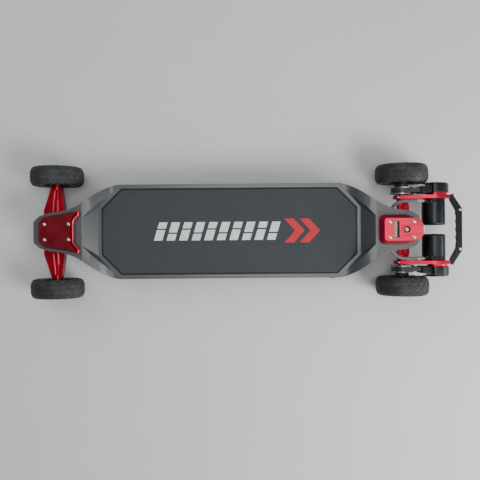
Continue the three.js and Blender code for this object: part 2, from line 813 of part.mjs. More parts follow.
// A plate that wraps the axle clamp, the motor's face and the ear that the handle screws on to.
function mountSolid(side) {
  const earCorners = [ear.startX, ear.endX].flatMap((x) => [
    vector(x, ear.z - ear.halfHeight),
    vector(x, ear.z + ear.halfHeight),
  ]);
  const outline = [
    ...circlePoints(halfWheelbase, axle.z, mount.clampRadius, 24),
    ...circlePoints(motor.x, motor.z, mount.faceRadius, 28),
    ...earCorners,
  ];
  const corners = outline.flatMap((point) => [
    new THREE.Vector3(point.x, side * mount.innerY, point.y),
    new THREE.Vector3(point.x, side * mount.outerY, point.y),
  ]);
  let body = solid(new ConvexGeometry(corners));
  const disc = turnedOnSide(rodProfile(boss.radius, mount.outerY - 1, boss.endY), side, motor.x, motor.z, 28);
  body = body.add(disc.intersect(box(boss.startX, past, -past, past, 0, past)));
  const clampBore = rodProfile(sleeve.radius + gap, mount.innerY - 5, mount.outerY + 5);
  body = body.subtract(turnedOnSide(clampBore, side, halfWheelbase, axle.z, 20));
  const shaftBore = rodProfile(mount.shaftHoleRadius, mount.innerY - 5, boss.endY + 5);
  body = body.subtract(turnedOnSide(shaftBore, side, motor.x, motor.z, 20));
  const windowShare = 0.41; // the window's place between the axle and the motor
  const windowX = halfWheelbase + windowShare * driveAxis.x;
  const windowZ = axle.z + windowShare * driveAxis.y;
  const window = circlePoints(windowX, windowZ, 9, 12);
  return body.subtract(sideSlab(window, side, mount.innerY - 5, mount.outerY + 5));
}

function sideBox(side, x0, x1, startY, endY, z0, z1) {
  return box(x0, x1, Math.min(side * startY, side * endY), Math.max(side * startY, side * endY), z0, z1);
}

// A round cover over the motor's pulley, flat at the front, with a nose that the belt runs in through.
// It is open on the side of the mount.
function coverSolid(side) {
  const { radius, wall, startY, endY, cutX } = cover;
  const profile = [
    [0, startY],
    [radius, startY],
    [radius, endY - wall],
    [radius - wall, endY],
    [0, endY],
  ];
  const { startX, outerY, lowZ, highZ } = coverNose;
  const nose = sideBox(side, startX, cutX + 1, startY, outerY, lowZ, highZ);
  const outside = turnedOnSide(profile, side, motor.x, motor.z, 28)
    .intersect(box(cutX, past, -past, past, 0, past))
    .add(nose);
  const room = rodProfile(radius - wall, startY - 1, endY - wall);
  const inside = turnedOnSide(room, side, motor.x, motor.z, 28)
    .intersect(box(cutX + wall, past, -past, past, 0, past));
  const tunnelEndX = cutX + wall + 1;
  const tunnel = sideBox(side, startX - 1, tunnelEndX, startY - 1, outerY - wall, lowZ + wall, highZ - wall);
  return outside.subtract(inside).subtract(tunnel);
}

const shaftRadius = 4;
const shaftEndY = 121;
const flangeRadius = 14.2;
const canProfile = [
  [0, motor.innerY],
  [28, motor.innerY],
  [motor.radius, motor.innerY + 3],
  [motor.radius, motor.canEndY],
  [29.6, motor.canEndY],
  [29.6, motor.innerY + 6],
  [shaftRadius, motor.innerY + 6],
  [shaftRadius, shaftEndY],
  [0, shaftEndY],
];
const statorProfile = [
  [shaftRadius + gap, motor.innerY + 8],
  [28.6, motor.innerY + 8],
  [28.6, motor.canEndY + gap],
  [31.5, motor.canEndY + gap],
  [31.5, motor.faceY],
  [shaftRadius + gap, motor.faceY],
];
const motorPulleyRim = motorBeltRadius - beltGap;
const motorPulleyProfile = [
  [shaftRadius + gap, beltStartY - 1.4],
  [flangeRadius, beltStartY - 1.4],
  [flangeRadius, beltStartY - 0.4],
  [motorPulleyRim, beltStartY - 0.4],
  [motorPulleyRim, beltEndY + 0.4],
  [flangeRadius, beltEndY + 0.4],
  [flangeRadius, beltEndY + 1.4],
  [shaftRadius + gap, beltEndY + 1.4],
];
const wheelPulleyRim = wheelBeltRadius - beltGap;
const wheelPulleyProfile = [
  [axle.radius + 0.6, sleeve.rearEndY + 0.6],
  [33, sleeve.rearEndY + 0.6],
  [33, beltStartY - 1],
  [wheelPulleyRim, beltStartY - 1],
  [wheelPulleyRim, beltEndY + 1],
  [31, beltEndY + 1],
  [31, beltEndY + 3],
  [20, beltEndY + 3],
  [17, tyre.centreY - 24],
  [axle.radius + 0.6, tyre.centreY - 24],
];

// Each motor's leads leave the deck under the tail and run over the hanger to the motor's base.
function cableSolid(side) {
  const route = new THREE.CatmullRomCurve3([
    new THREE.Vector3(434, side * 40, deck.neckBottomZ - 3.5),
    new THREE.Vector3(437, side * 47, 132),
    new THREE.Vector3(452, side * 66, 122),
    new THREE.Vector3(474, side * 78, 114),
    new THREE.Vector3(505, side * 80, 109),
    new THREE.Vector3(528, side * 80.2, 106),
    new THREE.Vector3(540.5, side * 80.3, 103.2),
  ]);
  const section = new THREE.Shape(circlePoints(0, 0, 4.6, 8));
  return solid(new THREE.ExtrudeGeometry(section, { steps: 18, extrudePath: route, bevelEnabled: false }));
}

for (const [sideName, side] of sides) {
  const onMotor = (profile, segments) => turnedOnSide(profile, side, motor.x, motor.z, segments);
  const wheelPulley = turnedOnSide(wheelPulleyProfile, side, halfWheelbase, axle.z, 24);
  addNode(board, `${sideName}_motor_mount`, mountSolid(side), redAnodised);
  addNode(board, `${sideName}_belt_cover`, coverSolid(side), blackAnodised);
  addNode(board, `${sideName}_belt`, beltSolid(side), rubber);
  addNode(board, `${sideName}_motor_can`, onMotor(canProfile, 24), blackAnodised);
  addNode(board, `${sideName}_motor_stator`, onMotor(statorProfile, 20), greyMetal);
  addNode(board, `${sideName}_motor_pulley`, onMotor(motorPulleyProfile, 16), steel);
  addNode(board, `${sideName}_wheel_pulley`, wheelPulley, greyMetal);
  addNode(board, `${sideName}_motor_cable`, cableSolid(side), blackPlastic);
}

// ---------------------------------------------------------------------------------------------
// Rear handle: a bar with four finger scallops and two legs that screw to the motor mounts.

function handleSolid() {
  const { outerX, barX, barHalfWidth, footX, footY, footLength } = handle;
  const { scallops, scallopWidth, scallopDepth } = handle;
  const path = new THREE.Path();
  path.moveTo(outerX, -barHalfWidth);
  path.lineTo(outerX, barHalfWidth);
  path.lineTo(footX + 12, footY - 7);
  path.lineTo(footX + 7, footY);
  path.lineTo(footX, footY);
  path.lineTo(footX, footY - footLength);
  path.lineTo(barX, barHalfWidth - 6);
  let y = (scallops * scallopWidth) / 2;
  path.lineTo(barX, y);
  for (let i = 0; i < scallops; i += 1) {
    path.quadraticCurveTo(barX + scallopDepth, y - scallopWidth / 2, barX, y - scallopWidth);
    y -= scallopWidth;
  }
  path.lineTo(barX, -barHalfWidth + 6);
  path.lineTo(footX, -footY + footLength);
  path.lineTo(footX, -footY);
  path.lineTo(footX + 7, -footY);
  path.lineTo(footX + 12, -footY + 7);
  return plate(path.getPoints(4), handle.lowZ, handle.highZ);
}

addNode(board, 'rear_handle', handleSolid(), blackAnodised);

// ---------------------------------------------------------------------------------------------
// The whole board, moved so that the middle of its outer size is at X = 0.

const frontX = -halfWheelbase - tyre.radius;
board.position.x = -(frontX + handle.outerX) / 2;

const skateboard = new THREE.Group();
skateboard.add(board);

export default skateboard;
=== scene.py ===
"""Looks of the electric skateboard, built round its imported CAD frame. Lengths are in metres, in the
row frame: +X to the rear, +Z up, the board on Z = 0. "left" is the side where Y is negative."""

import math

import bmesh
import bpy
from mathutils import Matrix, Vector


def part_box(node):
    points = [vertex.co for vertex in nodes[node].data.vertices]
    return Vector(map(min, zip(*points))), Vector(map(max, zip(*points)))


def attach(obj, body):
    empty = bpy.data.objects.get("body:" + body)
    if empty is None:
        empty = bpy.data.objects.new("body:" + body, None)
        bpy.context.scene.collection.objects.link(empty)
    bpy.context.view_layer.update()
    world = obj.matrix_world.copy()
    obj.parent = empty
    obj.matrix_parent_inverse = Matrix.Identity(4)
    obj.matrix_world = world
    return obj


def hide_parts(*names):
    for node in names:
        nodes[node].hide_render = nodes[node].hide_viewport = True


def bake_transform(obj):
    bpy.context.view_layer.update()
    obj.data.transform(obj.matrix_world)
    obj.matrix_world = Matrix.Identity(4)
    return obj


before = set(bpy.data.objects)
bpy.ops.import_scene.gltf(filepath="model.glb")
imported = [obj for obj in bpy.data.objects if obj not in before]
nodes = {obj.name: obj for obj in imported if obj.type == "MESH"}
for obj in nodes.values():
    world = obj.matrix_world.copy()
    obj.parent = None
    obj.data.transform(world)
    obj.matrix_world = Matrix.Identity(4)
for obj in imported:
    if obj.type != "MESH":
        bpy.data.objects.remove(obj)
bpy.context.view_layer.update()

MM = 0.001
ENDS = ("front", "rear")
SIDES = {"left": -1, "right": 1}
UP = Vector((0, 0, 1))


def middle(node):
    low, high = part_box(node)
    return (low + high) / 2


def sideways(node):
    """The least and the greatest distance of a node from the board's middle plane."""
    low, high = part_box(node)
    return sorted((abs(low.y), abs(high.y)))


def mm(*values):
    return Vector(values) * MM


def in_mm(profile):
    """A profile given in millimetres. What follows a point's first two values stays as it is."""
    return [(a * MM, b * MM, *rest) for a, b, *rest in profile]


def polar(radius, angle, height=0.0):
    return Vector((radius * math.cos(angle), radius * math.sin(angle), height))


def angles_round(count, start=0.0):
    """The angles of count equal steps round a circle, shifted by start steps."""
    return [2 * math.pi * (i + start) / count for i in range(count)]


def rectangle(x0, y0, x1, y1):
    return [(x0, y0), (x1, y0), (x1, y1), (x0, y1)]


def with_settings(target, settings):
    for name, value in settings.items():
        setattr(target, name, value)
    return target


def new_object(name, data):
    obj = bpy.data.objects.new(name, data)
    bpy.context.scene.collection.objects.link(obj)
    return obj


# ---- Materials


class Look:
    """A node material being built. Each method adds a node and gives its output."""

    def __init__(self, name, **sockets):
        self.material = bpy.data.materials.new(name)
        self.material.use_nodes = True
        self.tree = self.material.node_tree
        self.shader = self.tree.nodes["Principled BSDF"]
        self.place = self.node("ShaderNodeTexCoord").outputs["Object"]
        for socket, value in sockets.items():
            self.shader.inputs[socket.replace("_", " ")].default_value = value

    def node(self, kind, **settings):
        return with_settings(self.tree.nodes.new(kind), settings)

    def fill(self, socket, value):
        if isinstance(value, bpy.types.NodeSocket):
            self.tree.links.new(value, socket)
        else:
            socket.default_value = value

    def math(self, operation, a, b=0.0):
        made = self.node("ShaderNodeMath", operation=operation)
        self.fill(made.inputs[0], a)
        self.fill(made.inputs[1], b)
        return made.outputs[0]

    def wave(self, value, pitch, operation="SINE"):
        """A wave of value that goes through one turn in each pitch."""
        return self.math(operation, self.math("MULTIPLY", value, 2 * math.pi / pitch))

    def split(self, vector):
        made = self.node("ShaderNodeSeparateXYZ")
        self.fill(made.inputs[0], vector)
        return made.outputs

    def stretch(self, scale):
        made = self.node("ShaderNodeVectorMath", operation="MULTIPLY")
        self.fill(made.inputs[0], self.place)
        made.inputs[1].default_value = scale
        return made.outputs[0]

    def noise(self, scale, detail=3.0, roughness=0.55, place=None):
        made = self.node("ShaderNodeTexNoise")
        self.fill(made.inputs["Vector"], place or self.place)
        made.inputs["Scale"].default_value = scale
        made.inputs["Detail"].default_value = detail
        made.inputs["Roughness"].default_value = roughness
        return made.outputs["Fac"]

    def cells(self, scale):
        made = self.node("ShaderNodeTexVoronoi")
        self.fill(made.inputs["Vector"], self.place)
        made.inputs["Scale"].default_value = scale
        return made.outputs["Distance"]

    def spread(self, value, low, high, to_low=0.0, to_high=1.0):
        """value from low to high, made into to_low to to_high and held there outside it."""
        made = self.node("ShaderNodeMapRange")
        for socket, number in zip(made.inputs, (value, low, high, to_low, to_high)):
            self.fill(socket, number)
        return made.outputs[0]

    def mix(self, share, a, b):
        made = self.node("ShaderNodeMix", data_type="RGBA")
        self.fill(made.inputs["Factor"], share)
        for socket, value in zip(made.inputs[6:8], (a, b)):
            self.fill(socket, value if isinstance(value, bpy.types.NodeSocket) else (*value, 1.0))
        return made.outputs[2]

    def bump(self, height, depth):
        """Relief of the given depth in metres. A second call adds to the first."""
        made = self.node("ShaderNodeBump")
        made.inputs["Distance"].default_value = depth
        self.fill(made.inputs["Height"], height)
        earlier = self.shader.inputs["Normal"].links
        if earlier:
            self.fill(made.inputs["Normal"], earlier[0].from_socket)
        self.fill(self.shader.inputs["Normal"], made.outputs[0])

    def colour(self, value):
        self.fill(self.shader.inputs["Base Color"], value)

    def roughness(self, share, least, most, low=0.3, high=0.7):
        """Roughness from least to most, as share goes from low to high."""
        self.fill(self.shader.inputs["Roughness"], self.spread(share, low, high, least, most))


def carbon_look():
    """Two-over-two twill under a satin clear coat, its warp tows painted paler as a painted sheen. Steep
    walls are woven along their own height.
    """
    look = Look("carbon_twill", Coat_Weight=0.8, Coat_Roughness=0.25, Specular_IOR_Level=0.5)
    tow = 1.6 * MM
    wall_tilt = 0.8
    repeat, floated = 4.0, 1.5
    x, y, z = look.split(look.place)
    nx, ny, _ = look.split(look.node("ShaderNodeNewGeometry").outputs["Normal"])

    def along(flat, tilt):
        steep = look.math("GREATER_THAN", look.math("ABSOLUTE", tilt), wall_tilt)
        kept = look.math("MULTIPLY", flat, look.math("SUBTRACT", 1.0, steep))
        return look.math("DIVIDE", look.math("ADD", kept, look.math("MULTIPLY", z, steep)), tow)

    u, v = along(x, nx), along(y, ny)
    step = look.math("SUBTRACT", look.math("FLOOR", u), look.math("FLOOR", v))
    warp = look.math("LESS_THAN", look.math("FLOORED_MODULO", step, repeat), floated)

    def crown(across):
        off = look.math("SUBTRACT", look.math("FRACT", across), 0.5)
        return look.math("SUBTRACT", 1.0, look.math("MULTIPLY", look.math("MULTIPLY", off, off), 4.0))

    other = look.math("SUBTRACT", 1.0, warp)
    height = look.math("ADD", look.math("MULTIPLY", warp, crown(u)), look.math("MULTIPLY", other, crown(v)))
    fibre = look.noise(900, 2, place=look.stretch((1, 0.2, 1)))
    dark = look.mix(fibre, (0.012, 0.014, 0.015), (0.022, 0.025, 0.027))
    # The warp tows are painted paler than the weft: a painted sheen standing in for their directional
    # highlight.
    pale = look.mix(fibre, (0.046, 0.052, 0.056), (0.072, 0.080, 0.085))
    look.colour(look.mix(warp, dark, pale))
    look.roughness(warp, 0.42, 0.28, 0, 1)
    look.bump(height, 0.12 * MM)
    return look.material


def grip_look():
    """Grit sprayed over a rubber sheet: fine sharp grains in uneven shades."""
    look = Look("grip_grit", Specular_IOR_Level=0.35)
    grain = look.cells(1100)
    cloud = look.noise(14, 4)
    speck = look.noise(1500, 2)
    base = look.mix(cloud, (0.022, 0.026, 0.029), (0.036, 0.042, 0.046))
    look.colour(look.mix(look.spread(speck, 0.5, 0.75), base, (0.085, 0.097, 0.102)))
    look.roughness(cloud, 0.62, 0.8)
    look.bump(grain, 0.3 * MM)
    look.bump(look.noise(420, 3), 0.18 * MM)
    return look.material


def paint_look(name, colour, shade):
    """Paint on the grip: the grit shows through it."""
    look = Look(name, Roughness=0.6)
    look.colour(look.mix(look.spread(look.noise(900, 3), 0.42, 0.66), colour, shade))
    look.bump(look.cells(1100), 0.3 * MM)
    return look.material


def anodised_look(name, colour, roughness=0.34, metal=0.92, streak=(1, 12, 12)):
    """Blasted and anodised aluminium: a fine even grain, faint machining streaks, paler where handled."""
    look = Look(name, Metallic=metal)
    grain = look.noise(1400, 2)
    cloud = look.noise(26, 3)
    lines = look.noise(60, 2, place=look.stretch(streak))
    light = tuple(min(1.0, c * 1.25 + 0.004) for c in colour)
    deep = tuple(c * 0.78 for c in colour)
    look.colour(look.mix(look.math("MULTIPLY", cloud, lines), deep, light))
    look.roughness(look.math("ADD", cloud, grain), roughness - 0.05, roughness + 0.08, 0.7, 1.3)
    look.bump(grain, 0.03 * MM)
    look.bump(lines, 0.02 * MM)
    return look.material


def cover_look():
    """Dark red cover with a fine hammered grain in its anodising."""
    look = Look("dark_red_anodised", Metallic=0.85)
    dimple = look.cells(320)
    cloud = look.noise(40, 4)
    look.colour(look.mix(cloud, (0.10, 0.004, 0.008), (0.21, 0.009, 0.017)))
    look.roughness(cloud, 0.34, 0.48, 0.35, 0.65)
    look.bump(dimple, 0.14 * MM)
    return look.material


def steel_look(name, colour=(0.56, 0.57, 0.58), roughness=0.26):
    """Bare or plated steel with fine turning marks and small stains."""
    look = Look(name, Metallic=1.0)
    marks = look.noise(700, 2, place=look.stretch((1, 1, 0.25)))
    stain = look.noise(120, 4)
    shade = tuple(c * 0.72 for c in colour)
    look.colour(look.mix(look.spread(stain, 0.35, 0.7), colour, shade))
    look.roughness(marks, roughness - 0.06, roughness + 0.1)
    look.bump(marks, 0.02 * MM)
    return look.material


def plastic_look(name, colour, roughness=0.5, grain=500):
    """Moulded plastic with spark-eroded grain."""
    look = Look(name)
    texture = look.noise(grain, 2)
    cloud = look.noise(35, 3)
    light = tuple(c * 1.4 + 0.003 for c in colour)
    look.colour(look.mix(cloud, colour, light))
    look.roughness(texture, roughness - 0.07, roughness + 0.1)
    look.bump(texture, 0.06 * MM)
    return look.material


def rubber_look(name, colour, dust, roughness=0.66):
    """Rubber with a mould skin, and dust that lies in patches."""
    look = Look(name, Specular_IOR_Level=0.4)
    patch = look.noise(22, 5, 0.65)
    skin = look.noise(700, 3)
    look.colour(look.mix(look.spread(patch, 0.45, 0.75), colour, dust))
    look.roughness(skin, roughness - 0.1, roughness + 0.12)
    look.bump(skin, 0.08 * MM)
    return look.material


def urethane_look():
    look = Look("bushing_urethane", Subsurface_Weight=0.1, Specular_IOR_Level=0.45)
    cloud = look.noise(90, 3)
    look.colour(look.mix(cloud, (0.26, 0.012, 0.018), (0.42, 0.03, 0.035)))
    look.roughness(cloud, 0.35, 0.5)
    look.bump(look.noise(500, 2), 0.04 * MM)
    return look.material


def braid_look():
    """Braided sleeve: two sets of strands crossing on the slant."""
    look = Look("braided_sleeve", Specular_IOR_Level=0.45)
    x, y, z = look.split(look.place)
    pitch = 2.4 * MM

    def strands(sign):
        slant = look.math("ADD", look.math("ADD", x, y), look.math("MULTIPLY", z, sign * 1.6))
        return look.wave(slant, pitch)

    weave = look.math("MAXIMUM", strands(1), strands(-1))
    # The colour follows the strands' height: painted shade in the gaps between them and a painted sheen on
    # their crowns.
    look.colour(look.mix(look.spread(weave, -0.2, 1), (0.035, 0.038, 0.042), (0.17, 0.18, 0.19)))
    look.roughness(weave, 0.7, 0.45, -0.2, 1)
    look.bump(weave, 0.25 * MM)
    return look.material


def copper_look():
    look = Look("enamelled_copper", Metallic=0.9, Roughness=0.35)
    turns = look.wave(look.split(look.place)[1], 1.1 * MM)
    look.colour(look.mix(look.noise(80, 2), (0.42, 0.14, 0.05), (0.62, 0.24, 0.09)))
    look.bump(turns, 0.2 * MM)
    return look.material


def cells_look():
    """Shrink-wrapped battery cells: round humps sign by sign under the blue wrap."""
    look = Look("cell_wrap")
    x, y, _ = look.split(look.place)
    pitch = 21.5 * MM
    rows = look.math("ADD", look.wave(x, pitch, "COSINE"), look.wave(y, pitch, "COSINE"))
    # The colour follows the humps: painted shade in the hollows between the cells, paler tops as a painted
    # highlight.
    look.colour(look.mix(look.spread(rows, -2, 2), (0.012, 0.04, 0.16), (0.03, 0.10, 0.36)))
    look.roughness(look.noise(60, 3), 0.25, 0.4)
    look.bump(rows, 0.8 * MM)
    return look.material


def circuit_look():
    look = Look("circuit_board")
    trace = look.node("ShaderNodeTexBrick")
    look.fill(trace.inputs["Vector"], look.place)
    trace.inputs["Scale"].default_value = 160
    trace.inputs["Color1"].default_value = (0.012, 0.10, 0.04, 1)
    trace.inputs["Color2"].default_value = (0.02, 0.16, 0.06, 1)
    trace.inputs["Mortar"].default_value = (0.30, 0.22, 0.08, 1)
    look.colour(trace.outputs["Color"])
    look.roughness(look.noise(200, 2), 0.35, 0.5)
    look.bump(trace.outputs["Fac"], 0.1 * MM)
    return look.material


def screen_look():
    """Grey-green reflective display: a fine cell grid under smooth glass."""
    look = Look("display_glass", Coat_Weight=1.0, Coat_Roughness=0.04)
    x, y, _ = look.split(look.place)
    lines = look.wave(look.math("ADD", x, y), 0.9 * MM)
    shade = look.mix(look.noise(45, 2), (0.13, 0.24, 0.17), (0.25, 0.37, 0.28))
    look.colour(look.mix(look.spread(lines, 0.4, 1, 0, 0.35), shade, (0.09, 0.17, 0.12)))
    look.roughness(lines, 0.28, 0.4, -1, 1)
    return look.material


def lens_look():
    """Milky tail light lens, ribbed across its width and faintly lit."""
    look = Look("tail_light_lens", Coat_Weight=1.0, Coat_Roughness=0.05)
    ribs = look.wave(look.split(look.place)[1], 1.5 * MM)
    glow = look.mix(look.spread(ribs, -1, 1), (0.66, 0.68, 0.66), (0.85, 0.86, 0.84))
    look.colour(glow)
    look.fill(look.shader.inputs["Emission Color"], glow)
    look.shader.inputs["Emission Strength"].default_value = 0.25
    look.roughness(ribs, 0.18, 0.3, -1, 1)
    look.bump(ribs, 0.2 * MM)
    return look.material


def floor_look():
    look = Look("studio_floor", Specular_IOR_Level=0.25)
    look.colour(look.mix(look.noise(2.5, 4), (0.60, 0.60, 0.595), (0.66, 0.66, 0.655)))
    look.roughness(look.noise(60, 3), 0.6, 0.72)
    look.bump(look.noise(420, 3), 0.05 * MM)
    return look.material


RED = (0.60, 0.014, 0.050)
DEEP_RED = (0.36, 0.008, 0.022)
BLACK = (0.022, 0.023, 0.026)

carbon = carbon_look()
grip = grip_look()
red_metal = anodised_look("red_anodised", RED, 0.30)
cap_metal = anodised_look("cap_red_anodised", (0.78, 0.03, 0.085), 0.36)
hanger_metal = anodised_look("deep_red_anodised", DEEP_RED, 0.30)
# A paler, pinker red than the hanger's: a painted highlight on the front hanger's ribs.
rib_metal = anodised_look("painted_highlight_red_anodised", (0.92, 0.12, 0.17), 0.42)
dark_red = cover_look()
black_metal = anodised_look("black_anodised", BLACK, 0.36)
satin_black = anodised_look("satin_black_can", (0.03, 0.034, 0.037), 0.30, streak=(12, 1, 12))
grey_metal = anodised_look("grey_anodised", (0.34, 0.35, 0.37), 0.24, streak=(12, 1, 12))
steel = steel_look("bare_steel")
pale_steel = steel_look("plated_screws", (0.68, 0.71, 0.69), 0.24)
dark_steel = steel_look("black_oxide_screws", (0.045, 0.046, 0.05), 0.35)
tyre_rubber = rubber_look("tyre_rubber", (0.020, 0.022, 0.024), (0.060, 0.062, 0.060))
seal_rubber = rubber_look("seal_rubber", (0.007, 0.007, 0.008), (0.018, 0.018, 0.018), 0.6)
belt_rubber = rubber_look("belt_rubber", (0.014, 0.014, 0.015), (0.045, 0.045, 0.045), 0.34)
cup_rubber = rubber_look("cup_rubber", (0.012, 0.012, 0.013), (0.03, 0.03, 0.03), 0.5)
lid_plastic = plastic_look("lid_plastic", (0.016, 0.016, 0.018), 0.5)
black_plastic = plastic_look("black_plastic", (0.010, 0.010, 0.011), 0.4)
shrink = plastic_look("heat_shrink", (0.17, 0.175, 0.18), 0.42, 900)
wire_skin = plastic_look("wire_skin", (0.012, 0.012, 0.014), 0.35, 900)
urethane = urethane_look()
braid = braid_look()
copper = copper_look()
white_paint = paint_look("white_paint", (0.78, 0.80, 0.80), (0.42, 0.44, 0.45))
red_paint = paint_look("red_paint", (0.62, 0.012, 0.022), (0.30, 0.008, 0.014))
screen_glass = screen_look()
lens = lens_look()


# ---- Mesh building


def facing(point, direction):
    """The matrix that puts the local origin at point and turns local Z to direction."""
    z = Vector(direction).normalized()
    nearly_along = 0.9
    x = Vector((1, 0, 0)) if abs(z.x) < nearly_along else Vector((0, 1, 0))
    y = z.cross(x).normalized()
    turn = Matrix((y.cross(z), y, z)).transposed().to_4x4()
    turn.translation = Vector(point)
    return turn


def hexagon(angle):
    """Radius of a hexagon at angle, as a share of its corner radius."""
    sixth = math.pi / 3
    return math.cos(sixth / 2) / math.cos((angle % sixth) - sixth / 2)


def softened(profile, size):
    """The closed profile with each sharp corner cut by two short steps of about the given size."""
    nearly_straight = 2.6
    longest_share = 0.4
    pull = 0.55
    result = []
    for i, point in enumerate(profile):
        here = Vector(point)
        before = Vector(profile[i - 1]) - here
        after = Vector(profile[(i + 1) % len(profile)]) - here
        if before.angle(after) > nearly_straight:
            result.append(point)
            continue
        reach = min(size, longest_share * before.length, longest_share * after.length)
        first = here + before.normalized() * reach
        last = here + after.normalized() * reach
        centre = ((first + last) / 2).lerp(here, pull)
        result += [tuple(p) for p in (first, centre, last)]
    return result


class Shape:
    """Closed forms gathered in one mesh."""

    def __init__(self):
        self.verts = []
        self.faces = []

    def loft(self, rings, closed=False):
        """Skins equal rings of points. Its ends are capped, or joined to each other when closed."""
        start = len(self.verts)
        count = len(rings[0])
        for ring in rings:
            self.verts += [tuple(p) for p in ring]
        rows = len(rings) if closed else len(rings) - 1
        for row in range(rows):
            here = start + row * count
            there = start + (row + 1) % len(rings) * count
            for i in range(count):
                j = (i + 1) % count
                self.faces.append((here + i, here + j, there + j, there + i))
        if not closed:
            last = start + (len(rings) - 1) * count
            self.faces.append(tuple(range(start + count - 1, start - 1, -1)))
            self.faces.append(tuple(range(last, last + count)))
        return self

    def turned(self, profile, place, count=64):
        """A form turned about local Z. A profile point is (radius, height) or (radius, height, outline).
        A profile that starts on the axis is capped there; any other is a closed loop."""
        solid = profile[0][0] == 0
        points = [p for p in profile if p[0] > 0]
        rings = []
        for radius, height, *outline in points:
            ring = []
            for angle in angles_round(count):
                reach = radius * (outline[0](angle) if outline else 1.0)
                ring.append(place @ polar(reach, angle, height))
            rings.append(ring)
        return self.loft(rings, closed=not solid)

    def prism(self, outline, place, low, high, chamfer=0.0):
        """A flat outline raised from low to high along local Z. A chamfer cuts both its rims."""
        centre = sum((Vector(p) for p in outline), Vector((0, 0))) / len(outline)

        def ring(height, inset):
            points = []
            for p in outline:
                away = Vector(p) - centre
                pulled = away * max(0.0, 1 - inset / max(away.length, 1e-6))
                points.append(place @ Vector((centre.x + pulled.x, centre.y + pulled.y, height)))
            return points

        rings = [ring(low, chamfer), ring(low + chamfer, 0), ring(high - chamfer, 0), ring(high, chamfer)]
        return self.loft(rings if chamfer else [rings[0], rings[3]])

    def tube(self, points, radius, count=14, squash=1.0):
        """A round or flattened tube along points, with rounded ends. radius may be a function of
        the share of its length."""
        rings = []
        side = None
        for i, point in enumerate(points):
            ahead = points[min(i + 1, len(points) - 1)] - points[max(i - 1, 0)]
            ahead.normalize()
            side = (side or ahead.cross(UP)).normalized()
            side = (side - ahead * side.dot(ahead)).normalized()
            up = side.cross(ahead)
            reach = radius(i / (len(points) - 1)) if callable(radius) else radius
            ring = []
            for angle in angles_round(count):
                ring.append(point + side * reach * math.cos(angle) + up * reach * squash * math.sin(angle))
            rings.append(ring)
        return self.loft(rings)

    def piece(self, name, body, slot, look, replaced=(), smooth=35):
        mesh = bpy.data.meshes.new(name)
        mesh.from_pydata(self.verts, [], self.faces)
        mesh.validate()
        fix_facing(mesh)
        mesh.materials.append(look)
        obj = new_object(name, mesh)
        mesh.polygons.foreach_set("use_smooth", [True] * len(mesh.polygons))
        mesh.set_sharp_from_angle(angle=math.radians(smooth))
        if body:
            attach(obj, body)
        if replaced:
            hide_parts(*replaced)
        return obj


def fix_facing(mesh):
    """Turns all faces of each closed form outwards."""
    work = bmesh.new()
    work.from_mesh(mesh)
    bmesh.ops.recalc_face_normals(work, faces=work.faces)
    work.to_mesh(mesh)
    work.free()


def curve_through(points, steps):
    """Points on a smooth curve that passes through all the given ones."""
    points = [Vector(p) for p in points]
    padded = [2 * points[0] - points[1], *points, 2 * points[-1] - points[-2]]
    result = []
    for a, b, c, d in zip(padded, padded[1:], padded[2:], padded[3:]):
        for i in range(steps):
            t = i / steps
            squared = (2 * a - 5 * b + 4 * c - d) * t**2
            cubed = (3 * b - a - 3 * c + d) * t**3
            result.append(0.5 * (2 * b + (c - a) * t + squared + cubed))
    return [*result, points[-1]]


# ---- CAD nodes that keep their shape


def smoothing_group(limit):
    """A modifier group that shades smooth across every edge flatter than the limit."""
    group = bpy.data.node_groups.new(f"smooth_{limit}", "GeometryNodeTree")
    group.interface.new_socket("Geometry", in_out="INPUT", socket_type="NodeSocketGeometry")
    group.interface.new_socket("Geometry", in_out="OUTPUT", socket_type="NodeSocketGeometry")
    add = group.nodes.new
    source, result = add("NodeGroupInput"), add("NodeGroupOutput")
    plain = add("GeometryNodeRemoveAttribute")
    plain.inputs["Name"].default_value = "custom_normal"
    faces = add("GeometryNodeSetShadeSmooth")
    edges = add("GeometryNodeSetShadeSmooth")
    edges.domain = "EDGE"
    edges.inputs["Shade Smooth"].default_value = False
    angle = add("GeometryNodeInputMeshEdgeAngle")
    sharp = add("FunctionNodeCompare")
    sharp.operation = "GREATER_THAN"
    sharp.inputs["B"].default_value = math.radians(limit)
    link = group.links.new
    link(source.outputs[0], plain.inputs[0])
    link(plain.outputs[0], faces.inputs[0])
    link(faces.outputs[0], edges.inputs[0])
    link(angle.outputs["Unsigned Angle"], sharp.inputs["A"])
    link(sharp.outputs[0], edges.inputs["Selection"])
    link(edges.outputs[0], result.inputs[0])
    return group


smooth_group = smoothing_group(28)


def keep(name, look, bevel=0.5 * MM, merged=True):
    """Gives a CAD node its material, rounds its edges and shades it smooth."""
    obj = nodes[name]
    obj.data.materials.clear()
    obj.data.materials.append(look)

    def modify(label, kind, **settings):
        with_settings(obj.modifiers.new(label, kind), settings)

    modify("weld", "WELD", merge_threshold=0.01 * MM)
    if merged:
        modify("flat", "DECIMATE", decimate_type="DISSOLVE", angle_limit=math.radians(0.5))
    modify("rounding", "BEVEL", width=bevel, segments=2, limit_method="ANGLE", angle_limit=math.radians(32))
    modify("shading", "NODES", node_group=smooth_group)
    modify("weighted", "WEIGHTED_NORMAL", keep_sharp=True)


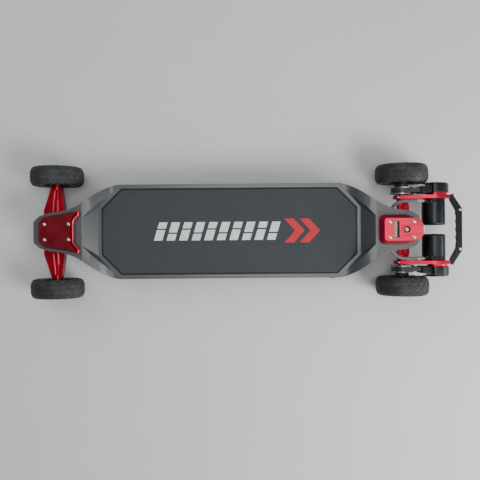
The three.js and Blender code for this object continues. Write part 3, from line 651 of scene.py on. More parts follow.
keep("deck_shell", carbon, 0.9 * MM, merged=False)
keep("top_lid", lid_plastic)
keep("grip_sheet", grip, 0.4 * MM)
keep("lid_gasket", seal_rubber, 0.3 * MM)
keep("battery_pack", cells_look(), 3 * MM)
keep("battery_board", circuit_look(), 0.3 * MM)
keep("motor_controller", black_metal, 1.5 * MM)
keep("front_cover", dark_red, 0.8 * MM)
keep("rear_cap", cap_metal, 0.7 * MM)
for end in ENDS:
    keep(f"{end}_riser", seal_rubber, 0.6 * MM)
    keep(f"{end}_baseplate", black_metal, 0.8 * MM)
    keep(f"{end}_pivot_cup", cup_rubber, 0.3 * MM)
    keep(f"{end}_hanger", hanger_metal, 0.9 * MM)
for side in SIDES:
    keep(f"{side}_motor_mount", red_metal, 1.2 * MM)
    keep(f"{side}_belt_cover", satin_black, 1.4 * MM)
keep("rear_handle", black_metal, 2.4 * MM)

# ---- Screws and nuts


def socket_screw(shape, place, radius, height, recess=0.55, dome=0.3):
    """A screw head standing on local Z = 0, with a hexagon socket in its top."""
    profile = [
        (0, -0.6 * height),
        (0.55 * radius, -0.6 * height),
        (0.55 * radius, 0),
        (radius, 0),
        (radius, height * (1 - dome)),
        (radius * 0.9, height * (1 - 0.4 * dome)),
        (radius * 0.72, height),
        (radius * recess, height, hexagon),
        (radius * recess * 0.94, height * 0.25, hexagon),
        (radius * 0.08, height * 0.2),
        (0, height * 0.2),
    ]
    shape.turned(profile, place, 36)


def flat_screw(shape, place, radius, depth):
    """A countersunk screw flush with local Z = 0."""
    profile = [
        (0, -depth),
        (radius * 0.5, -depth),
        (radius, -0.15 * depth),
        (radius, 0),
        (radius * 0.52, 0, hexagon),
        (radius * 0.48, -0.6 * depth, hexagon),
        (radius * 0.05, -0.6 * depth),
        (0, -0.6 * depth),
    ]
    shape.turned(profile, place, 30)


def hex_nut(shape, place, radius, height, bore, stub=0.0):
    """A lock nut on a washer, with the end of its bolt standing out by stub."""
    base, top = 0.18 * height, 0.8 * height
    washer = [(bore, 0), (radius * 1.12, 0), (radius * 1.12, base), (bore, base)]
    shape.turned(softened(washer, 0.2 * MM), place, 48)
    profile = [
        (bore, base),
        (radius, base, hexagon),
        (radius, top - 0.1 * height, hexagon),
        (radius * 0.9, top),
        (radius * 0.8, top),
        (radius * 0.76, height),
        (bore, height),
    ]
    shape.turned(profile, place, 60)
    if stub:
        end = height + stub
        bolt = [(0, 0), (bore * 0.98, 0), (bore * 0.98, end - 0.6 * MM), (bore * 0.8, end), (0, end)]
        shape.turned(bolt, place, 36)


# ---- Deck: screws, graphic, display, button and light

GRIP_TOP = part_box("grip_sheet")[1].z
wheelbase_middle = (middle("front_axle").x + middle("rear_axle").x) / 2


def lid_screws():
    shape = Shape()
    edge_distance = 6.4 * MM
    proud = 0.15 * MM
    half_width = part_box("grip_sheet")[1].y - edge_distance
    for x in (-275, -92, 92, 275):
        for sign in (-1, 1):
            point = Vector((wheelbase_middle + x * MM, sign * half_width, GRIP_TOP + proud))
            flat_screw(shape, facing(point, UP), 2.9 * MM, 1.5 * MM)
    shape.piece("lid_screws", "board", "steel", dark_steel)


def slanted(x, y0, y1, width, slant):
    """Corners of a bar that leans to the rear by slant for each unit of Y."""
    near, far = x + slant * y0, x + slant * y1
    return [(near, y0), (near + width, y0), (far + width, y1), (far, y1)]


def grip_graphic():
    """A generic row of slanted bars and two chevrons, painted on the grip."""
    flat = facing((0, 0, GRIP_TOP), UP)
    low, high = -0.1 * MM, 0.15 * MM
    slant = 0.3
    half_height = 25 * MM
    bar_width, gap_height = 23 * MM, 4 * MM
    bar_start, bar_pitch = wheelbase_middle - 200 * MM, 34.5 * MM
    bars = Shape()
    for i in range(10):
        x = bar_start + i * bar_pitch
        gap = (-7 if i % 2 else 4) * MM
        bars.prism(slanted(x, -half_height, gap, bar_width, slant), flat, low, high)
        bars.prism(slanted(x, gap + gap_height, half_height, bar_width, slant), flat, low, high)
    bars.piece("graphic_bars", "board", "grip", white_paint)
    height, tip, width = 33 * MM, 30 * MM, 26 * MM
    chevron_start, chevron_pitch = 151, 42
    chevrons = Shape()
    for i in range(2):
        x = wheelbase_middle + (chevron_start + chevron_pitch * i) * MM
        for sign in (-1, 1):
            corners = [(x + tip, 0), (x + tip + width, 0), (x + width, sign * height), (x, sign * height)]
            chevrons.prism(corners, flat, low, high)
    chevrons.piece("graphic_chevrons", "board", "grip", red_paint)


def truck_bolts():
    """The four bolts of each truck: heads in the holes of the cover, nuts under the baseplate."""
    half_length, half_width = 32, 20.5
    head_depth, riser_to_nut = 3 * MM, 8.3 * MM
    for end, centre, cover in (("front", -458.5, "front_cover"), ("rear", 458.5, "rear_cap")):
        head_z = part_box(cover)[1].z - head_depth
        nut_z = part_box(f"{end}_riser")[0].z - riser_to_nut
        heads, nuts = Shape(), Shape()
        for along in (-half_length, half_length):
            for across in (-half_width, half_width):
                x, y = wheelbase_middle + (centre + along) * MM, across * MM
                socket_screw(heads, facing((x, y, head_z), UP), 4.6 * MM, 2.8 * MM, recess=0.45)
                hex_nut(nuts, facing((x, y, nut_z), -UP), 4.6 * MM, 4.6 * MM, 2.4 * MM, 2 * MM)
        heads.piece(f"{end}_bolt_heads", "board", "steel", pale_steel)
        nuts.piece(f"{end}_bolt_nuts", "board", "steel", steel)


def cover_lip():
    """Rounded red bead along the hollow inner end of the front cover and round its two horns, in the paler
    cap red as a painted highlight on that edge.
    """
    half = [
        (-408, 55.6), (-403.6, 54.6), (-401.6, 50.4), (-402.8, 45), (-407.4, 40), (-413, 33.4), (-415.6, 29),
    ]
    straight_x = -416.6
    depth = 5.2
    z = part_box("front_cover")[1].z / MM - depth
    shift = wheelbase_middle / MM
    route = [mm(x + shift, y, z) for x, y in half]
    route += [mm(shift + straight_x, y, z) for y in (22, 8, -8, -22)]
    route += [mm(x + shift, -y, z) for x, y in reversed(half)]
    radius, end_radius, end_share = 3.3, 1.6, 0.05

    def bead(share):
        nearest_end = min(share, 1 - share) / end_share
        return (end_radius + (radius - end_radius) * min(1, nearest_end)) * MM

    shape = Shape().tube(curve_through(route, 6), bead, 20)
    # The bead's paler red is a painted highlight on the cover's lit inner edge.
    shape.piece("front_cover_lip", "board", "red", cap_metal, smooth=60)


def display():
    """The lit pane fills the front of the window. The rest is a sunk frame whose black is painted shade."""
    low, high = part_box("display_window")
    flat = facing((0, 0, 0), UP)
    pane_end = low.x + 0.6 * (high.x - low.x)
    inset, pane_thickness = 0.5 * MM, 2.3 * MM
    window = rectangle(low.x, low.y, high.x, high.y)
    # The sunk frame is black rubber: its black is painted shade at the far end of the window.
    sunk = Shape().prism(window, flat, low.z, high.z - pane_thickness - 0.1 * MM, 0.3 * MM)
    sunk.piece("display_shade_frame", "board", "seal", seal_rubber)
    pane = rectangle(low.x + inset, low.y + inset, pane_end, high.y - inset)
    glass = Shape().prism(pane, flat, high.z - pane_thickness, high.z, 0.4 * MM)
    glass.piece("display_pane", "board", "display", screen_glass, ["display_window"])


def button():
    """A domed steel button with a groove round its face, in a dark ring."""
    low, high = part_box("power_button")
    place = facing((middle("power_button").x, 0, 0), UP)
    radius = (high.x - low.x) / 2
    face = [(5.4, 1.6), (5.2, 1.9), (4.7, 1.9), (4.5, 1.2), (3.0, 0.5), (1.5, 0.1), (0, 0)]
    profile = [
        (0, low.z),
        (radius, low.z),
        (radius, high.z - 3.4 * MM),
        (radius - 0.5 * MM, high.z - 2.5 * MM),
        *((r * MM, high.z - depth * MM) for r, depth in face),
    ]
    dome = Shape().turned(profile, place, 48)
    dome.piece("button_dome", "power_button", "steel", steel, ["power_button"], smooth=50)
    low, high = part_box("button_bezel")
    outer, inner = (high.x - low.x) / 2, 7.6 * MM
    profile = [(inner, low.z), (outer, low.z), (outer, high.z), (inner, high.z - 1.2 * MM)]
    bezel = Shape().turned(softened(profile, 0.3 * MM), place, 64)
    bezel.piece("button_ring", "board", "black_metal", black_metal, ["button_bezel"])


def tail_light():
    """A smooth milky bar with rounded corners on its rear face."""
    low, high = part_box("tail_light")
    rounding = 1.1 * MM
    corner = [(rounding, 0), (0.3 * rounding, 0.3 * rounding), (0, rounding)]
    outline = [
        (low.x, low.y),
        *((high.x - x, low.y + y) for x, y in corner),
        *((high.x - x, high.y - y) for x, y in reversed(corner)),
        (low.x, high.y),
    ]
    shape = Shape().prism(outline, facing((0, 0, 0), UP), low.z, high.z, 0.35 * MM)
    shape.piece("tail_light_bar", "board", "light", lens, ["tail_light"])


def charge_port():
    """A flanged round socket in the side of the bay, with three pins."""
    low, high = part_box("charge_socket")
    centre = middle("charge_socket")
    out = Vector((0, -1, 0))
    place = facing((centre.x, high.y, centre.z), out)
    radius, depth = (high.x - low.x) / 2, high.y - low.y
    well, flange = depth - 8 * MM, depth + 1.1 * MM
    profile = [
        (0, 0),
        (radius, 0),
        (radius, depth - 0.4 * MM),
        (radius * 1.35, depth - 0.4 * MM),
        (radius * 1.35, depth + 0.5 * MM),
        (radius * 1.2, flange),
        (radius * 0.8, flange),
        (radius * 0.74, depth + 0.6 * MM),
        (radius * 0.72, well),
        (0, well),
    ]
    shell = Shape().turned(profile, place, 48)
    shell.piece("charge_port_shell", "board", "socket", black_plastic, ["charge_socket"])
    pin = in_mm([(0, 0), (0.7, 0), (0.7, 5.4), (0.3, 6), (0, 6)])
    pins = Shape()
    for angle in angles_round(3, 0.75):
        pins.turned(pin, facing(place @ polar(0.38 * radius, angle, well - 0.2 * MM), out), 16)
    pins.piece("charge_port_pins", "board", "steel", pale_steel)


lid_screws()
grip_graphic()
truck_bolts()
cover_lip()
display()
button()
tail_light()
charge_port()

# ---- Wheels

PITCHES = 20


class TreadCurve:
    """The tyre's outer surface, in (radius, offset from its middle), by distance from the crown."""

    def __init__(self):
        outline = [
            (71.9, 0), (71.7, 8), (70.7, 15.5), (67.6, 21.8), (62.5, 25.0),
            (56.5, 25.8), (50.5, 24.0), (46.5, 20.8), (44.2, 19),
        ]
        self.points = [p * MM for p in curve_through([(*p, 0) for p in outline], 4)]
        self.reach = [0.0]
        for a, b in zip(self.points, self.points[1:]):
            self.reach.append(self.reach[-1] + (b - a).length)

    def at(self, distance, height):
        """The point at a distance across the tread, raised above the carcass by height."""
        sign = 1 if distance >= 0 else -1
        distance = abs(distance)
        i = next((k for k, r in enumerate(self.reach) if r > distance), len(self.reach) - 1)
        a, b = self.points[i - 1], self.points[i]
        share = (distance - self.reach[i - 1]) / (self.reach[i] - self.reach[i - 1])
        along = (b - a).normalized()
        raised = a.lerp(b, share) + Vector((along.y, -along.x, 0)) * height
        return raised.x, sign * raised.y


tread = TreadCurve()


def tread_block(shape, place, corners, height, chamfer):
    """A block whose corners are given as (turn in radians, distance across the tread)."""
    mid_turn = sum(c[0] for c in corners) / len(corners)
    mid_across = sum(c[1] for c in corners) / len(corners)
    crown_radius = 72 * MM
    rings = []
    for lift, inset in ((-0.7 * MM, 0), (height - chamfer, 0), (height, chamfer)):
        ring = []
        for turn, across in corners:
            away = Vector(((turn - mid_turn) * crown_radius, across - mid_across))
            away *= 1 - inset / away.length
            radius, offset = tread.at(mid_across + away.y, lift)
            angle = mid_turn + away.x / crown_radius
            ring.append(place @ polar(radius, angle, offset))
        rings.append(ring)
    shape.loft(rings)


def tyre(name, body, place, direction):
    """Carcass, centre rib, two rows of slanted blocks a side, and lugs down the side walls."""
    outer = [(p.x, p.y) for p in tread.points]
    half = outer + in_mm([(44, 13), (65, 15)])
    shape = Shape().turned(half + [(r, -y) for r, y in reversed(half[1:])], place, 120)
    rib = [(71.5, -1.7), (73.2, -1.5), (73.5, -0.9), (73.5, 0.9), (73.2, 1.5), (71.5, 1.7)]
    shape.turned(in_mm(rib), place, 120)
    pitch = 2 * math.pi / PITCHES
    chamfer = 0.45 * MM
    rows = [
        # nearest and furthest distance from the crown, the share of the pitch taken at each, and the height
        (3.0, 12.4, (0.05, 0.66), (0.33, 0.94), 1.7),
        (14.0, 24.5, (0.40, 0.98), (0.10, 0.60), 1.7),
        (26.6, 33.0, (0.16, 0.50), (0.22, 0.44), 1.1),
        (26.6, 30.5, (0.66, 0.96), (0.70, 0.92), 1.0),
    ]
    for sign in (-1, 1):
        stagger = 0.5 * pitch if sign > 0 else 0
        for i in range(PITCHES):
            start = i * pitch + stagger
            for near, far, near_span, far_span, height in rows:
                shares = (*near_span, *reversed(far_span))
                across = (near, near, far, far)
                corners = [(direction * (start + t * pitch), sign * a * MM) for t, a in zip(shares, across)]
                tread_block(shape, place, corners, height * MM, chamfer)
    bead = [(47.5, 22.3), (48.6, 23.9), (50.0, 24.3), (50.6, 23.4)]
    for sign in (-1, 1):
        shape.turned(in_mm([(r, sign * y) for r, y in bead]), place, 96)
    shape.piece(f"{name}_tread", body, "tyre", tyre_rubber, [f"{name}_tyre"])


def beam(shape, place, angle, near, far, span, chamfer):
    """A tapered spoke, in millimetres. near and far are each (radius, half width)."""
    outline = in_mm([(near[0], -near[1]), (far[0], -far[1]), far, near])
    turn = place @ Matrix.Rotation(angle, 4, "Z")
    shape.prism(outline, turn, span[0] * MM, span[1] * MM, chamfer * MM)


def rim(name, body, place):
    """Split rim: barrel, five spokes and a hub, with the clamping screws of its two halves."""
    spokes = 5
    outward = place.to_3x3()
    barrel = [
        (39.4, -24), (46.6, -24), (46.8, -22.4), (43.1, -19.5), (43.1, -1.2), (42.4, -0.4), (42.4, 0.4),
        (43.1, 1.2), (43.1, 19.5), (46.8, 22.4), (46.6, 24), (39.4, 24), (38.2, 20), (38.2, -20),
    ]
    hub = [(14.3, -23.5), (19, -23.5), (21, -8), (21, 10), (18.6, 19), (14.3, 19)]
    flange = [(37.0, -4), (39.6, -5), (39.6, 7), (37.0, 6)]
    shape, screws = Shape(), Shape()
    shape.turned(softened(in_mm(barrel), 0.5 * MM), place, 96)
    shape.turned(softened(in_mm(hub), 0.7 * MM), place, 72)
    for angle in angles_round(spokes):
        beam(shape, place, angle, near=(18, 7.5), far=(40.5, 10.5), span=(-6, 9), chamfer=1.1)
        point = place @ polar(30 * MM, angle, 9 * MM)
        socket_screw(screws, facing(point, outward @ UP), 3.2 * MM, 2.8 * MM)
    shape.turned(in_mm(flange), place, 96)
    shape.piece(f"{name}_spokes", body, "black_metal", black_metal, [f"{name}_rim"])
    screws.piece(f"{name}_rim_screws", body, "steel", pale_steel)
    between = math.pi / spokes
    base = place @ polar(38.5 * MM, between, 8 * MM)
    stem = [(0, -1), (3, -1), (3, 2), (2.2, 3), (2.2, 7), (2.7, 7.2), (2.7, 12), (1.8, 13), (0, 13)]
    valve = Shape().turned(in_mm(stem), facing(base, outward @ polar(-0.55, between, 1)), 24)
    valve.piece(f"{name}_valve", body, "seal", black_plastic)


def bearings(name, body, place):
    """Two shielded ball bearings with their spacer."""
    race = [(6.35, 10), (6.35, 18), (8.6, 18), (8.9, 17.3), (11.4, 17.3), (11.8, 18), (14, 18), (14, 10)]
    shape = Shape()
    for sign in (-1, 1):
        shape.turned(in_mm([(r, sign * y) for r, y in race]), place, 64)
    spacer = [(6.35, -10.2), (9, -10.2), (9, 10.2), (6.35, 10.2)]
    shape.turned(in_mm(spacer), place, 48)
    shape.piece(f"{name}_races", body, "steel", steel, [f"{name}_bearings"])


for end in ENDS:
    for side, sign in SIDES.items():
        name = f"{end}_{side}"
        body = f"{name}_wheel"
        place = facing(middle(f"{name}_tyre"), (0, sign, 0))
        tyre(name, body, place, sign)
        rim(name, body, place)
        bearings(name, body, place)


def axle(end):
    """Shaft with threaded ends, washers and lock nuts."""
    low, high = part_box(f"{end}_axle")
    centre = middle(f"{end}_axle")
    radius, crest, root = 5.9 * MM, 5.75 * MM, 5.2 * MM
    thread_pitch, thread_turns = 1.25 * MM, 9
    reach = (high.y - low.y) / 2
    tip, thread_start = -reach - 4 * MM, -reach - 3.2 * MM
    half = [(0, tip), (4.9 * MM, tip), (5.4 * MM, -reach - 3.4 * MM)]
    for i in range(thread_turns):
        y = thread_start + i * thread_pitch
        half += [(crest, y), (root, y + thread_pitch / 2)]
    half.append((radius, thread_start + thread_turns * thread_pitch))
    profile = half + [(r, -y) for r, y in reversed(half)]
    shaft = Shape().turned(profile, facing(centre, (0, 1, 0)), 40)
    shaft.piece(f"{end}_axle_shaft", f"{end}_truck", "steel", steel, [f"{end}_axle"])
    for side, sign in SIDES.items():
        nut = Shape()
        seat = abs(middle(f"{end}_{side}_tyre").y) + 18.3 * MM
        hex_nut(nut, facing((centre.x, sign * seat, centre.z), (0, sign, 0)), 9.2 * MM, 6 * MM, 5.85 * MM)
        nut.piece(f"{end}_{side}_axle_nut", f"{end}_truck", "steel", pale_steel)


def steering_parts(end):
    """Kingpin with its washers and nut, and the two bushings."""
    upper, lower = middle(f"{end}_upper_bushing"), middle(f"{end}_lower_bushing")
    along = (upper - lower).normalized()
    lower_to_ring = 12.3 * MM
    place = facing(lower + along * lower_to_ring, along)
    pin = [
        (0, -36), (4.4, -36), (5, -35.4), (5, -31), (8.7, -31, hexagon), (8.7, -25, hexagon), (7.4, -23.4),
        (7.4, -21.2), (12, -21.2), (12.3, -20.6), (12.3, -19.2), (12, -18.6), (5, -18.6), (5, 31.3),
        (8.4, 31.3, hexagon), (8.4, 37.2, hexagon), (7.6, 38), (0, 38),
    ]
    bolt = Shape().turned(in_mm(pin), place, 60)
    bolt.piece(f"{end}_kingpin_bolt", "board", "steel", steel, [f"{end}_kingpin"])
    for name, near, far in (("upper", 6.3, 20.0), ("lower", -6.3, -18.3)):
        shoulder = 0.12 * (far - near)
        barrel = [
            (5.4, near), (12.2, near), (12.8, near + shoulder), (13.1, (near + far) / 2),
            (12.8, far - shoulder), (12.2, far), (5.4, far),
        ]
        node = f"{end}_{name}_bushing"
        bushing = Shape().turned(in_mm(barrel), place, 48)
        piece = bushing.piece(f"{node}_barrel", None, "urethane", urethane, [node])
        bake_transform(piece)


def hanger_ribs():
    """Rounded ribs just above the front hanger's arms: a long one and a short one on each."""
    x0 = middle("front_axle").x / MM
    z = 86.3
    radius, end_radius, end_share = 2.0, 1.2, 0.03

    def taper(share):
        return (radius if min(share, 1 - share) > end_share else end_radius) * MM

    shape = Shape()
    for sign in SIDES.values():
        for near, far in (((-8.4, 58), (-2.2, 120)), ((5.4, 58), (6.1, 90))):
            ends = [Vector(((x0 + x) * MM, sign * y * MM, z * MM)) for x, y in (near, far)]
            points = [ends[0].lerp(ends[1], share) for share in (0, 0.02, 0.06, 0.5, 0.94, 0.98, 1)]
            shape.tube(points, taper, 16, 0.8)
    # The ribs take the paler red, a painted highlight.
    shape.piece("front_hanger_ribs", "front_truck", "red", rib_metal, smooth=60)


for end in ENDS:
    axle(end)
    steering_parts(end)
hanger_ribs()

# ---- Belt drive

BELT_PITCH = 5 * MM
WHEEL_TEETH, MOTOR_TEETH = 36, 15
wheel_axis = middle("rear_axle")
motor_axis = middle("left_motor_can")
motor_axis.y = 0


def teeth_outline(count, depth):
    """Radius of a toothed pulley at angle, as a share of its tip radius."""
    def share(angle):
        phase = (angle * count / (2 * math.pi)) % 1
        flank = min(1.0, max(0.0, (abs(phase - 0.5) - 0.17) / 0.13))
        return 1 - depth * (1 - flank)
    return share


def beside(axis, sign, distance):
    """The place on an axis at a distance from the middle plane, with local Z pointing outwards."""
    return facing((axis.x, sign * distance, axis.z), (0, sign, 0))


def wheel_pulley(side, sign):
    """Toothed pulley with flanges, the adapter to the wheel and its screws."""
    node, body = f"{side}_wheel_pulley", f"rear_{side}_wheel"
    place = beside(wheel_axis, sign, sideways(node)[0])
    teeth = teeth_outline(WHEEL_TEETH, 0.07)
    profile = [
        (6.7, 0), (26.5, 0), (27.5, 0.6), (32.6, 0.6), (33, 1.0), (33, 3.4), (32.2, 4.2),
        (27.2, 4.3, teeth), (27.2, 18.4, teeth),
        (30.8, 18.5), (31, 18.9), (31, 20.2), (30.4, 20.6), (21, 20.6), (19.6, 21.6), (17.2, 34.2),
        (6.7, 34.2),
    ]
    shape = Shape().turned(in_mm(profile), place, WHEEL_TEETH * 8)
    shape.piece(f"{side}_pulley_teeth", body, "grey_metal", grey_metal, [node])
    screws = Shape()
    for angle in angles_round(5, 0.5):
        point = place @ polar(13.5 * MM, angle, 0.1 * MM)
        socket_screw(screws, facing(point, (0, -sign, 0)), 2.4 * MM, 1.6 * MM)
    screws.piece(f"{side}_pulley_screws", body, "steel", pale_steel)


def motor_pulley(side, sign):
    """Small toothed pulley on the motor's shaft, with a flange at each end."""
    node = f"{side}_motor_pulley"
    inner, outer = sideways(node)
    last = (outer - inner) / MM
    teeth = teeth_outline(MOTOR_TEETH, 0.15)
    profile = [
        (4.3, 0), (13.8, 0), (14.2, 0.4), (14.2, 1.0), (10.5, 1.1, teeth), (10.5, last - 1.1, teeth),
        (14.2, last - 1.0), (14.2, last - 0.4), (13.8, last), (4.3, last),
    ]
    shape = Shape().turned(in_mm(profile), beside(motor_axis, sign, inner), MOTOR_TEETH * 12)
    shape.piece(f"{side}_pinion", f"{side}_rotor", "steel", steel, [node])


def belt_path():
    """The length of the belt's inner face, and a function that gives the point (x, z) and the outward
    angle at a distance along it. It runs round the wheel pulley, then round the motor pulley."""
    inner_gap = 0.9 * MM
    big, small = (teeth * BELT_PITCH / (2 * math.pi) - inner_gap for teeth in (WHEEL_TEETH, MOTOR_TEETH))
    span = motor_axis - wheel_axis
    lean = math.atan2(span.z, span.x)
    wrap = math.acos((big - small) / span.length)
    straight = math.sqrt(span.length**2 - (big - small) ** 2)
    stretches = [
        # pulley axis and radius, the angle where the stretch starts, and its length on the arc
        (wheel_axis, big, lean + wrap, big * (2 * math.pi - 2 * wrap)),
        (motor_axis, small, lean - wrap, small * 2 * wrap),
    ]
    total = sum(arc for *_, arc in stretches) + 2 * straight

    def at(s):
        for axis, radius, first, arc in stretches:
            angle = first + min(s, arc) / radius
            past = min(max(0.0, s - arc), straight)
            if s < arc + straight:
                break
            s -= arc + straight
        x = axis.x + radius * math.cos(angle) - past * math.sin(angle)
        z = axis.z + radius * math.sin(angle) + past * math.cos(angle)
        return x, z, angle

    return total, at


def belt(side):
    """Toothed belt. Its teeth end half a millimetre above the pulleys."""
    node = f"{side}_belt"
    low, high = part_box(node)
    total, at = belt_path()
    count = round(total / BELT_PITCH)
    tooth_height, thickness = 0.9 * MM, 2.2 * MM
    tooth = ((0.0, tooth_height), (0.22, tooth_height), (0.34, 0), (0.66, 0), (0.78, tooth_height))
    rings = []
    for i in range(count):
        for share, rise in tooth:
            x, z, angle = at((i + share) * total / count)
            out = Vector((math.cos(angle), 0, math.sin(angle)))
            foot = Vector((x, 0, z))
            near, far = foot + out * rise, foot + out * thickness
            edges = [(near, low.y), (far, low.y), (far, high.y), (near, high.y)]
            rings.append([(p.x, y, p.z) for p, y in edges])
    shape = Shape().loft(rings, closed=True)
    shape.piece(f"{side}_toothed_belt", "rear_truck", "belt", belt_rubber, [node], smooth=30)


def motor(side, sign):
    """Outrunner: a turned can with a vented end, copper coils inside and a bolted base."""
    can_node, rotor = f"{side}_motor_can", f"{side}_rotor"
    inner, outer = sideways(can_node)
    place = beside(motor_axis, sign, inner)
    lip = 62.5
    shell = [
        (29.6, 5), (29.6, lip), (31.6, lip), (32, lip - 0.4), (32, 54.4), (31.6, 54.0), (31.6, 53.2),
        (32, 52.8), (32, 6.2), (31.6, 5.8), (31.6, 5.0), (32, 4.6), (32, 3.2), (30.4, 0.8), (28.4, 0),
        (25.2, 0), (25.2, 5),
    ]
    hub = [(4, 0.4), (10.4, 0), (11, 0.6), (11, 5), (4, 5)]
    can = Shape().turned(in_mm(shell), place, 96).turned(in_mm(hub), place, 48)
    for angle in angles_round(8):
        beam(can, place, angle, near=(10, 2.4), far=(26, 3.6), span=(0.3, 5), chamfer=0.5)
    can.piece(f"{side}_motor_shell", rotor, "black_metal", satin_black, [can_node])
    end = (outer - inner) / MM
    shaft_profile = [(0, -0.8), (3.4, -0.8), (4, -0.2), (4, end - 0.6), (3.4, end), (0, end)]
    shaft = Shape().turned(in_mm(shaft_profile), place, 32)
    shaft.piece(f"{side}_motor_shaft", rotor, "steel", steel)
    flange = [
        (4.6, 62), (20, 62), (20, lip + 0.4), (30.8, lip + 0.4), (31.4, lip + 1.0), (31.4, lip + 4.2),
        (30.6, lip + 4.8), (30.6, lip + 5.6), (31.4, lip + 6.2), (31.4, 72.5), (30.8, 73.1), (4.6, 73.1),
    ]
    core = rectangle(4.6, 8, 13, 62.2)
    base = Shape().turned(in_mm(flange), place, 96).turned(in_mm(core), place, 48)
    base.piece(f"{side}_motor_base", "rear_truck", "grey_metal", black_metal, [f"{side}_motor_stator"])
    pole = in_mm([(14, -3.0), (27, -5.4), (27.6, 0), (27, 5.4), (14, 3.0)])
    coils = Shape()
    for angle in angles_round(12):
        coils.prism(pole, place @ Matrix.Rotation(angle, 4, "Z"), 9 * MM, 60 * MM, 1.6 * MM)
    coils.piece(f"{side}_motor_coils", "rear_truck", "grey_metal", copper)


def cover_skin(side, sign):
    """Seams and screws of the moulded belt cover, whose shell is the CAD node."""
    outer = sideways(f"{side}_belt_cover")[1]
    place = beside(motor_axis, sign, outer)
    disc = [(17, -1.2), (30.5, -1.2), (30.5, 0.2), (29.9, 0.8), (18.2, 0.8), (17, 0.2)]
    boss = [(0, -1.2), (6.4, -1.2), (6.4, 0.4), (5.8, 0.9), (3.4, 0.9), (2.8, 0.2), (0, 0.2)]
    plaque = Shape().turned(in_mm(disc), place, 96).turned(in_mm(boss), place, 48)
    plaque.piece(f"{side}_cover_ring", "rear_truck", "black_metal", black_metal)
    cover_radius, screw_inset, sunk = 41 * MM, 6.6 * MM, 0.2 * MM
    reach = cover_radius - screw_inset
    screws = Shape()
    for turn in (50, 0, -50):
        angle = math.radians(turn)
        point = (motor_axis.x + reach * math.cos(angle), motor_axis.z + reach * math.sin(angle))
        seat = facing((point[0], sign * (outer - sunk), point[1]), (0, sign, 0))
        socket_screw(screws, seat, 2.2 * MM, 2.0 * MM)
    screws.piece(f"{side}_cover_screws", "rear_truck", "steel", pale_steel)


def cable(side, sign):
    """Braided motor lead from under the tail, its shrink boot and three phase wires to the motor."""
    shift = wheelbase_middle / MM

    def route(points):
        return [mm(x + shift, sign * y, z) for x, y, z in points]

    points = route([
        (434, 40, 140.5), (437, 47, 132), (452, 66, 122), (474, 78, 114), (505, 80, 109), (528, 80.2, 106),
    ])
    sleeve = Shape().tube(curve_through(points, 10), 4.5 * MM, 18, 0.8)
    replaced = [f"{side}_motor_cable"]
    piece = sleeve.piece(f"{side}_cable_sleeve", None, "cable", braid, replaced, smooth=60)
    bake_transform(piece)

    def boot_radius(share):
        return (4.9 + 0.5 * math.sin(math.pi * min(1, share * 2)) - 0.9 * max(0, share - 0.8) / 0.2) * MM

    boot_route = curve_through(route([(519, 80.1, 107.2), (528, 80.2, 106), (540, 80.3, 104)]), 8)
    boot = Shape().tube(boot_route, boot_radius, 20, 0.75)
    boot.piece(f"{side}_cable_boot", "rear_truck", "cable", shrink, smooth=60)
    wires = Shape()
    for i in range(3):
        spread = (i - 1) * 3.0
        wire = route([
            (538, 80.3 + spread * 0.6, 104.4), (546, 79 + spread, 105.5), (553, 75 + spread, 108 + i),
            (557, 77 + spread, 113 + i), (561, 80 + spread * 0.8, 111), (564, 80 + spread * 0.7, 107),
        ])
        wires.tube(curve_through(wire, 6), 1.3 * MM, 10)
    wires.piece(f"{side}_phase_wires", "rear_truck", "cable", wire_skin, smooth=60)


def mount_screws(side, sign):
    """Clamp screws at the axle end of each motor mount."""
    y = sign * (sideways(f"{side}_motor_mount")[0] + 4.5 * MM)
    screws = Shape()
    for up in (1, -1):
        point = (wheel_axis.x - 14 * MM, y, wheel_axis.z + up * 19.4 * MM)
        socket_screw(screws, facing(point, (-0.45, 0, up * 0.9)), 3.0 * MM, 2.6 * MM)
    screws.piece(f"{side}_clamp_screws", "rear_truck", "steel", pale_steel)


for side, sign in SIDES.items():
    wheel_pulley(side, sign)
    motor_pulley(side, sign)
    belt(side)
    motor(side, sign)
    cover_skin(side, sign)
    cable(side, sign)
    mount_screws(side, sign)


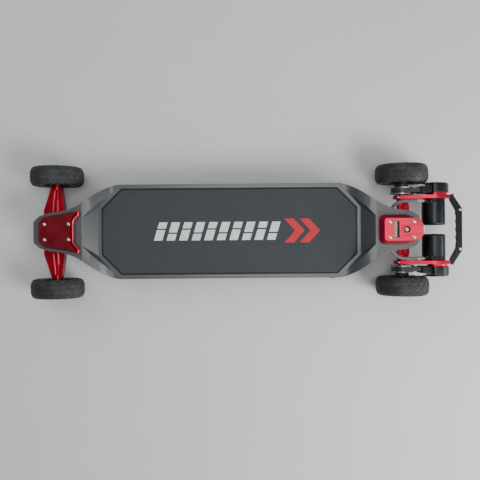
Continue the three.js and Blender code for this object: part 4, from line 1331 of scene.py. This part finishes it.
def handle_screws():
    """Screws through the handle's feet and corners, with a washer behind each foot."""
    low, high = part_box("rear_handle")
    mid_z = (low.z + high.z) / 2
    washer = [(2.6, -1.4), (4.6, -1.4), (5, -1.0), (5, 0), (2.6, 0)]
    screws, washers = Shape(), Shape()
    for sign in SIDES.values():
        foot = Vector((low.x + 9.0 * MM, sign * (high.y - 3.6 * MM), mid_z))
        out = Vector((0.81, sign * 0.58, 0))
        seat = facing(foot + out * 1.6 * MM, out)
        washers.turned(in_mm(washer), seat, 36)
        socket_screw(screws, seat, 4.4 * MM, 4.2 * MM)
        corner = Vector((high.x - 6.5 * MM, sign * 54 * MM, high.z - 0.1 * MM))
        socket_screw(screws, facing(corner, UP), 3.6 * MM, 1.8 * MM)
    screws.piece("handle_screws", "rear_truck", "steel", pale_steel)
    washers.piece("handle_washers", "rear_truck", "red", red_metal)


handle_screws()

# ---- Floor, light and camera


def floor():
    half = 4.0
    mesh = bpy.data.meshes.new("floor")
    corners = [(x, y, 0) for x, y in rectangle(-half, -half, half, half)]
    mesh.from_pydata(corners, [], [(0, 1, 2, 3)])
    mesh.materials.append(floor_look())
    new_object("floor", mesh)


def area_light(name, position, power, size, tint=(1, 1, 1)):
    """A round light that faces the middle of the board."""
    light = bpy.data.lights.new(name, "AREA")
    with_settings(light, {"shape": "DISK", "size": size, "energy": power, "color": tint})
    turn = (-Vector(position)).to_track_quat("-Z", "Y")
    place = {"location": position, "rotation_mode": "QUATERNION", "rotation_quaternion": turn}
    with_settings(new_object(name, light), place)


def sky(strength):
    world = bpy.data.worlds.new("studio")
    world.use_nodes = True
    background = world.node_tree.nodes["Background"]
    background.inputs["Color"].default_value = (0.93, 0.96, 1.0, 1)
    background.inputs["Strength"].default_value = strength
    bpy.context.scene.world = world


def camera():
    """Straight above the board. The lens and the height give the photograph's framing."""
    data = bpy.data.cameras.new("camera")
    data.lens = 45
    data.sensor_width = 36
    obj = new_object("camera", data)
    height, off_x, off_y, roll = 1.767, -0.013, -0.025, -0.46
    obj.location = (off_x, off_y, height)
    obj.rotation_euler = (0, 0, math.radians(roll))
    bpy.context.scene.camera = obj


floor()
area_light("key", (1.5, -1.1, 1.9), 52, 1.3)
area_light("low", (2.3, -0.7, 0.55), 34, 1.5)
area_light("fill", (-1.6, 1.4, 2.2), 18, 1.8, (0.92, 0.96, 1.0))
area_light("top", (0.2, 0.2, 3.2), 26, 1.6)
sky(0.35)
camera()
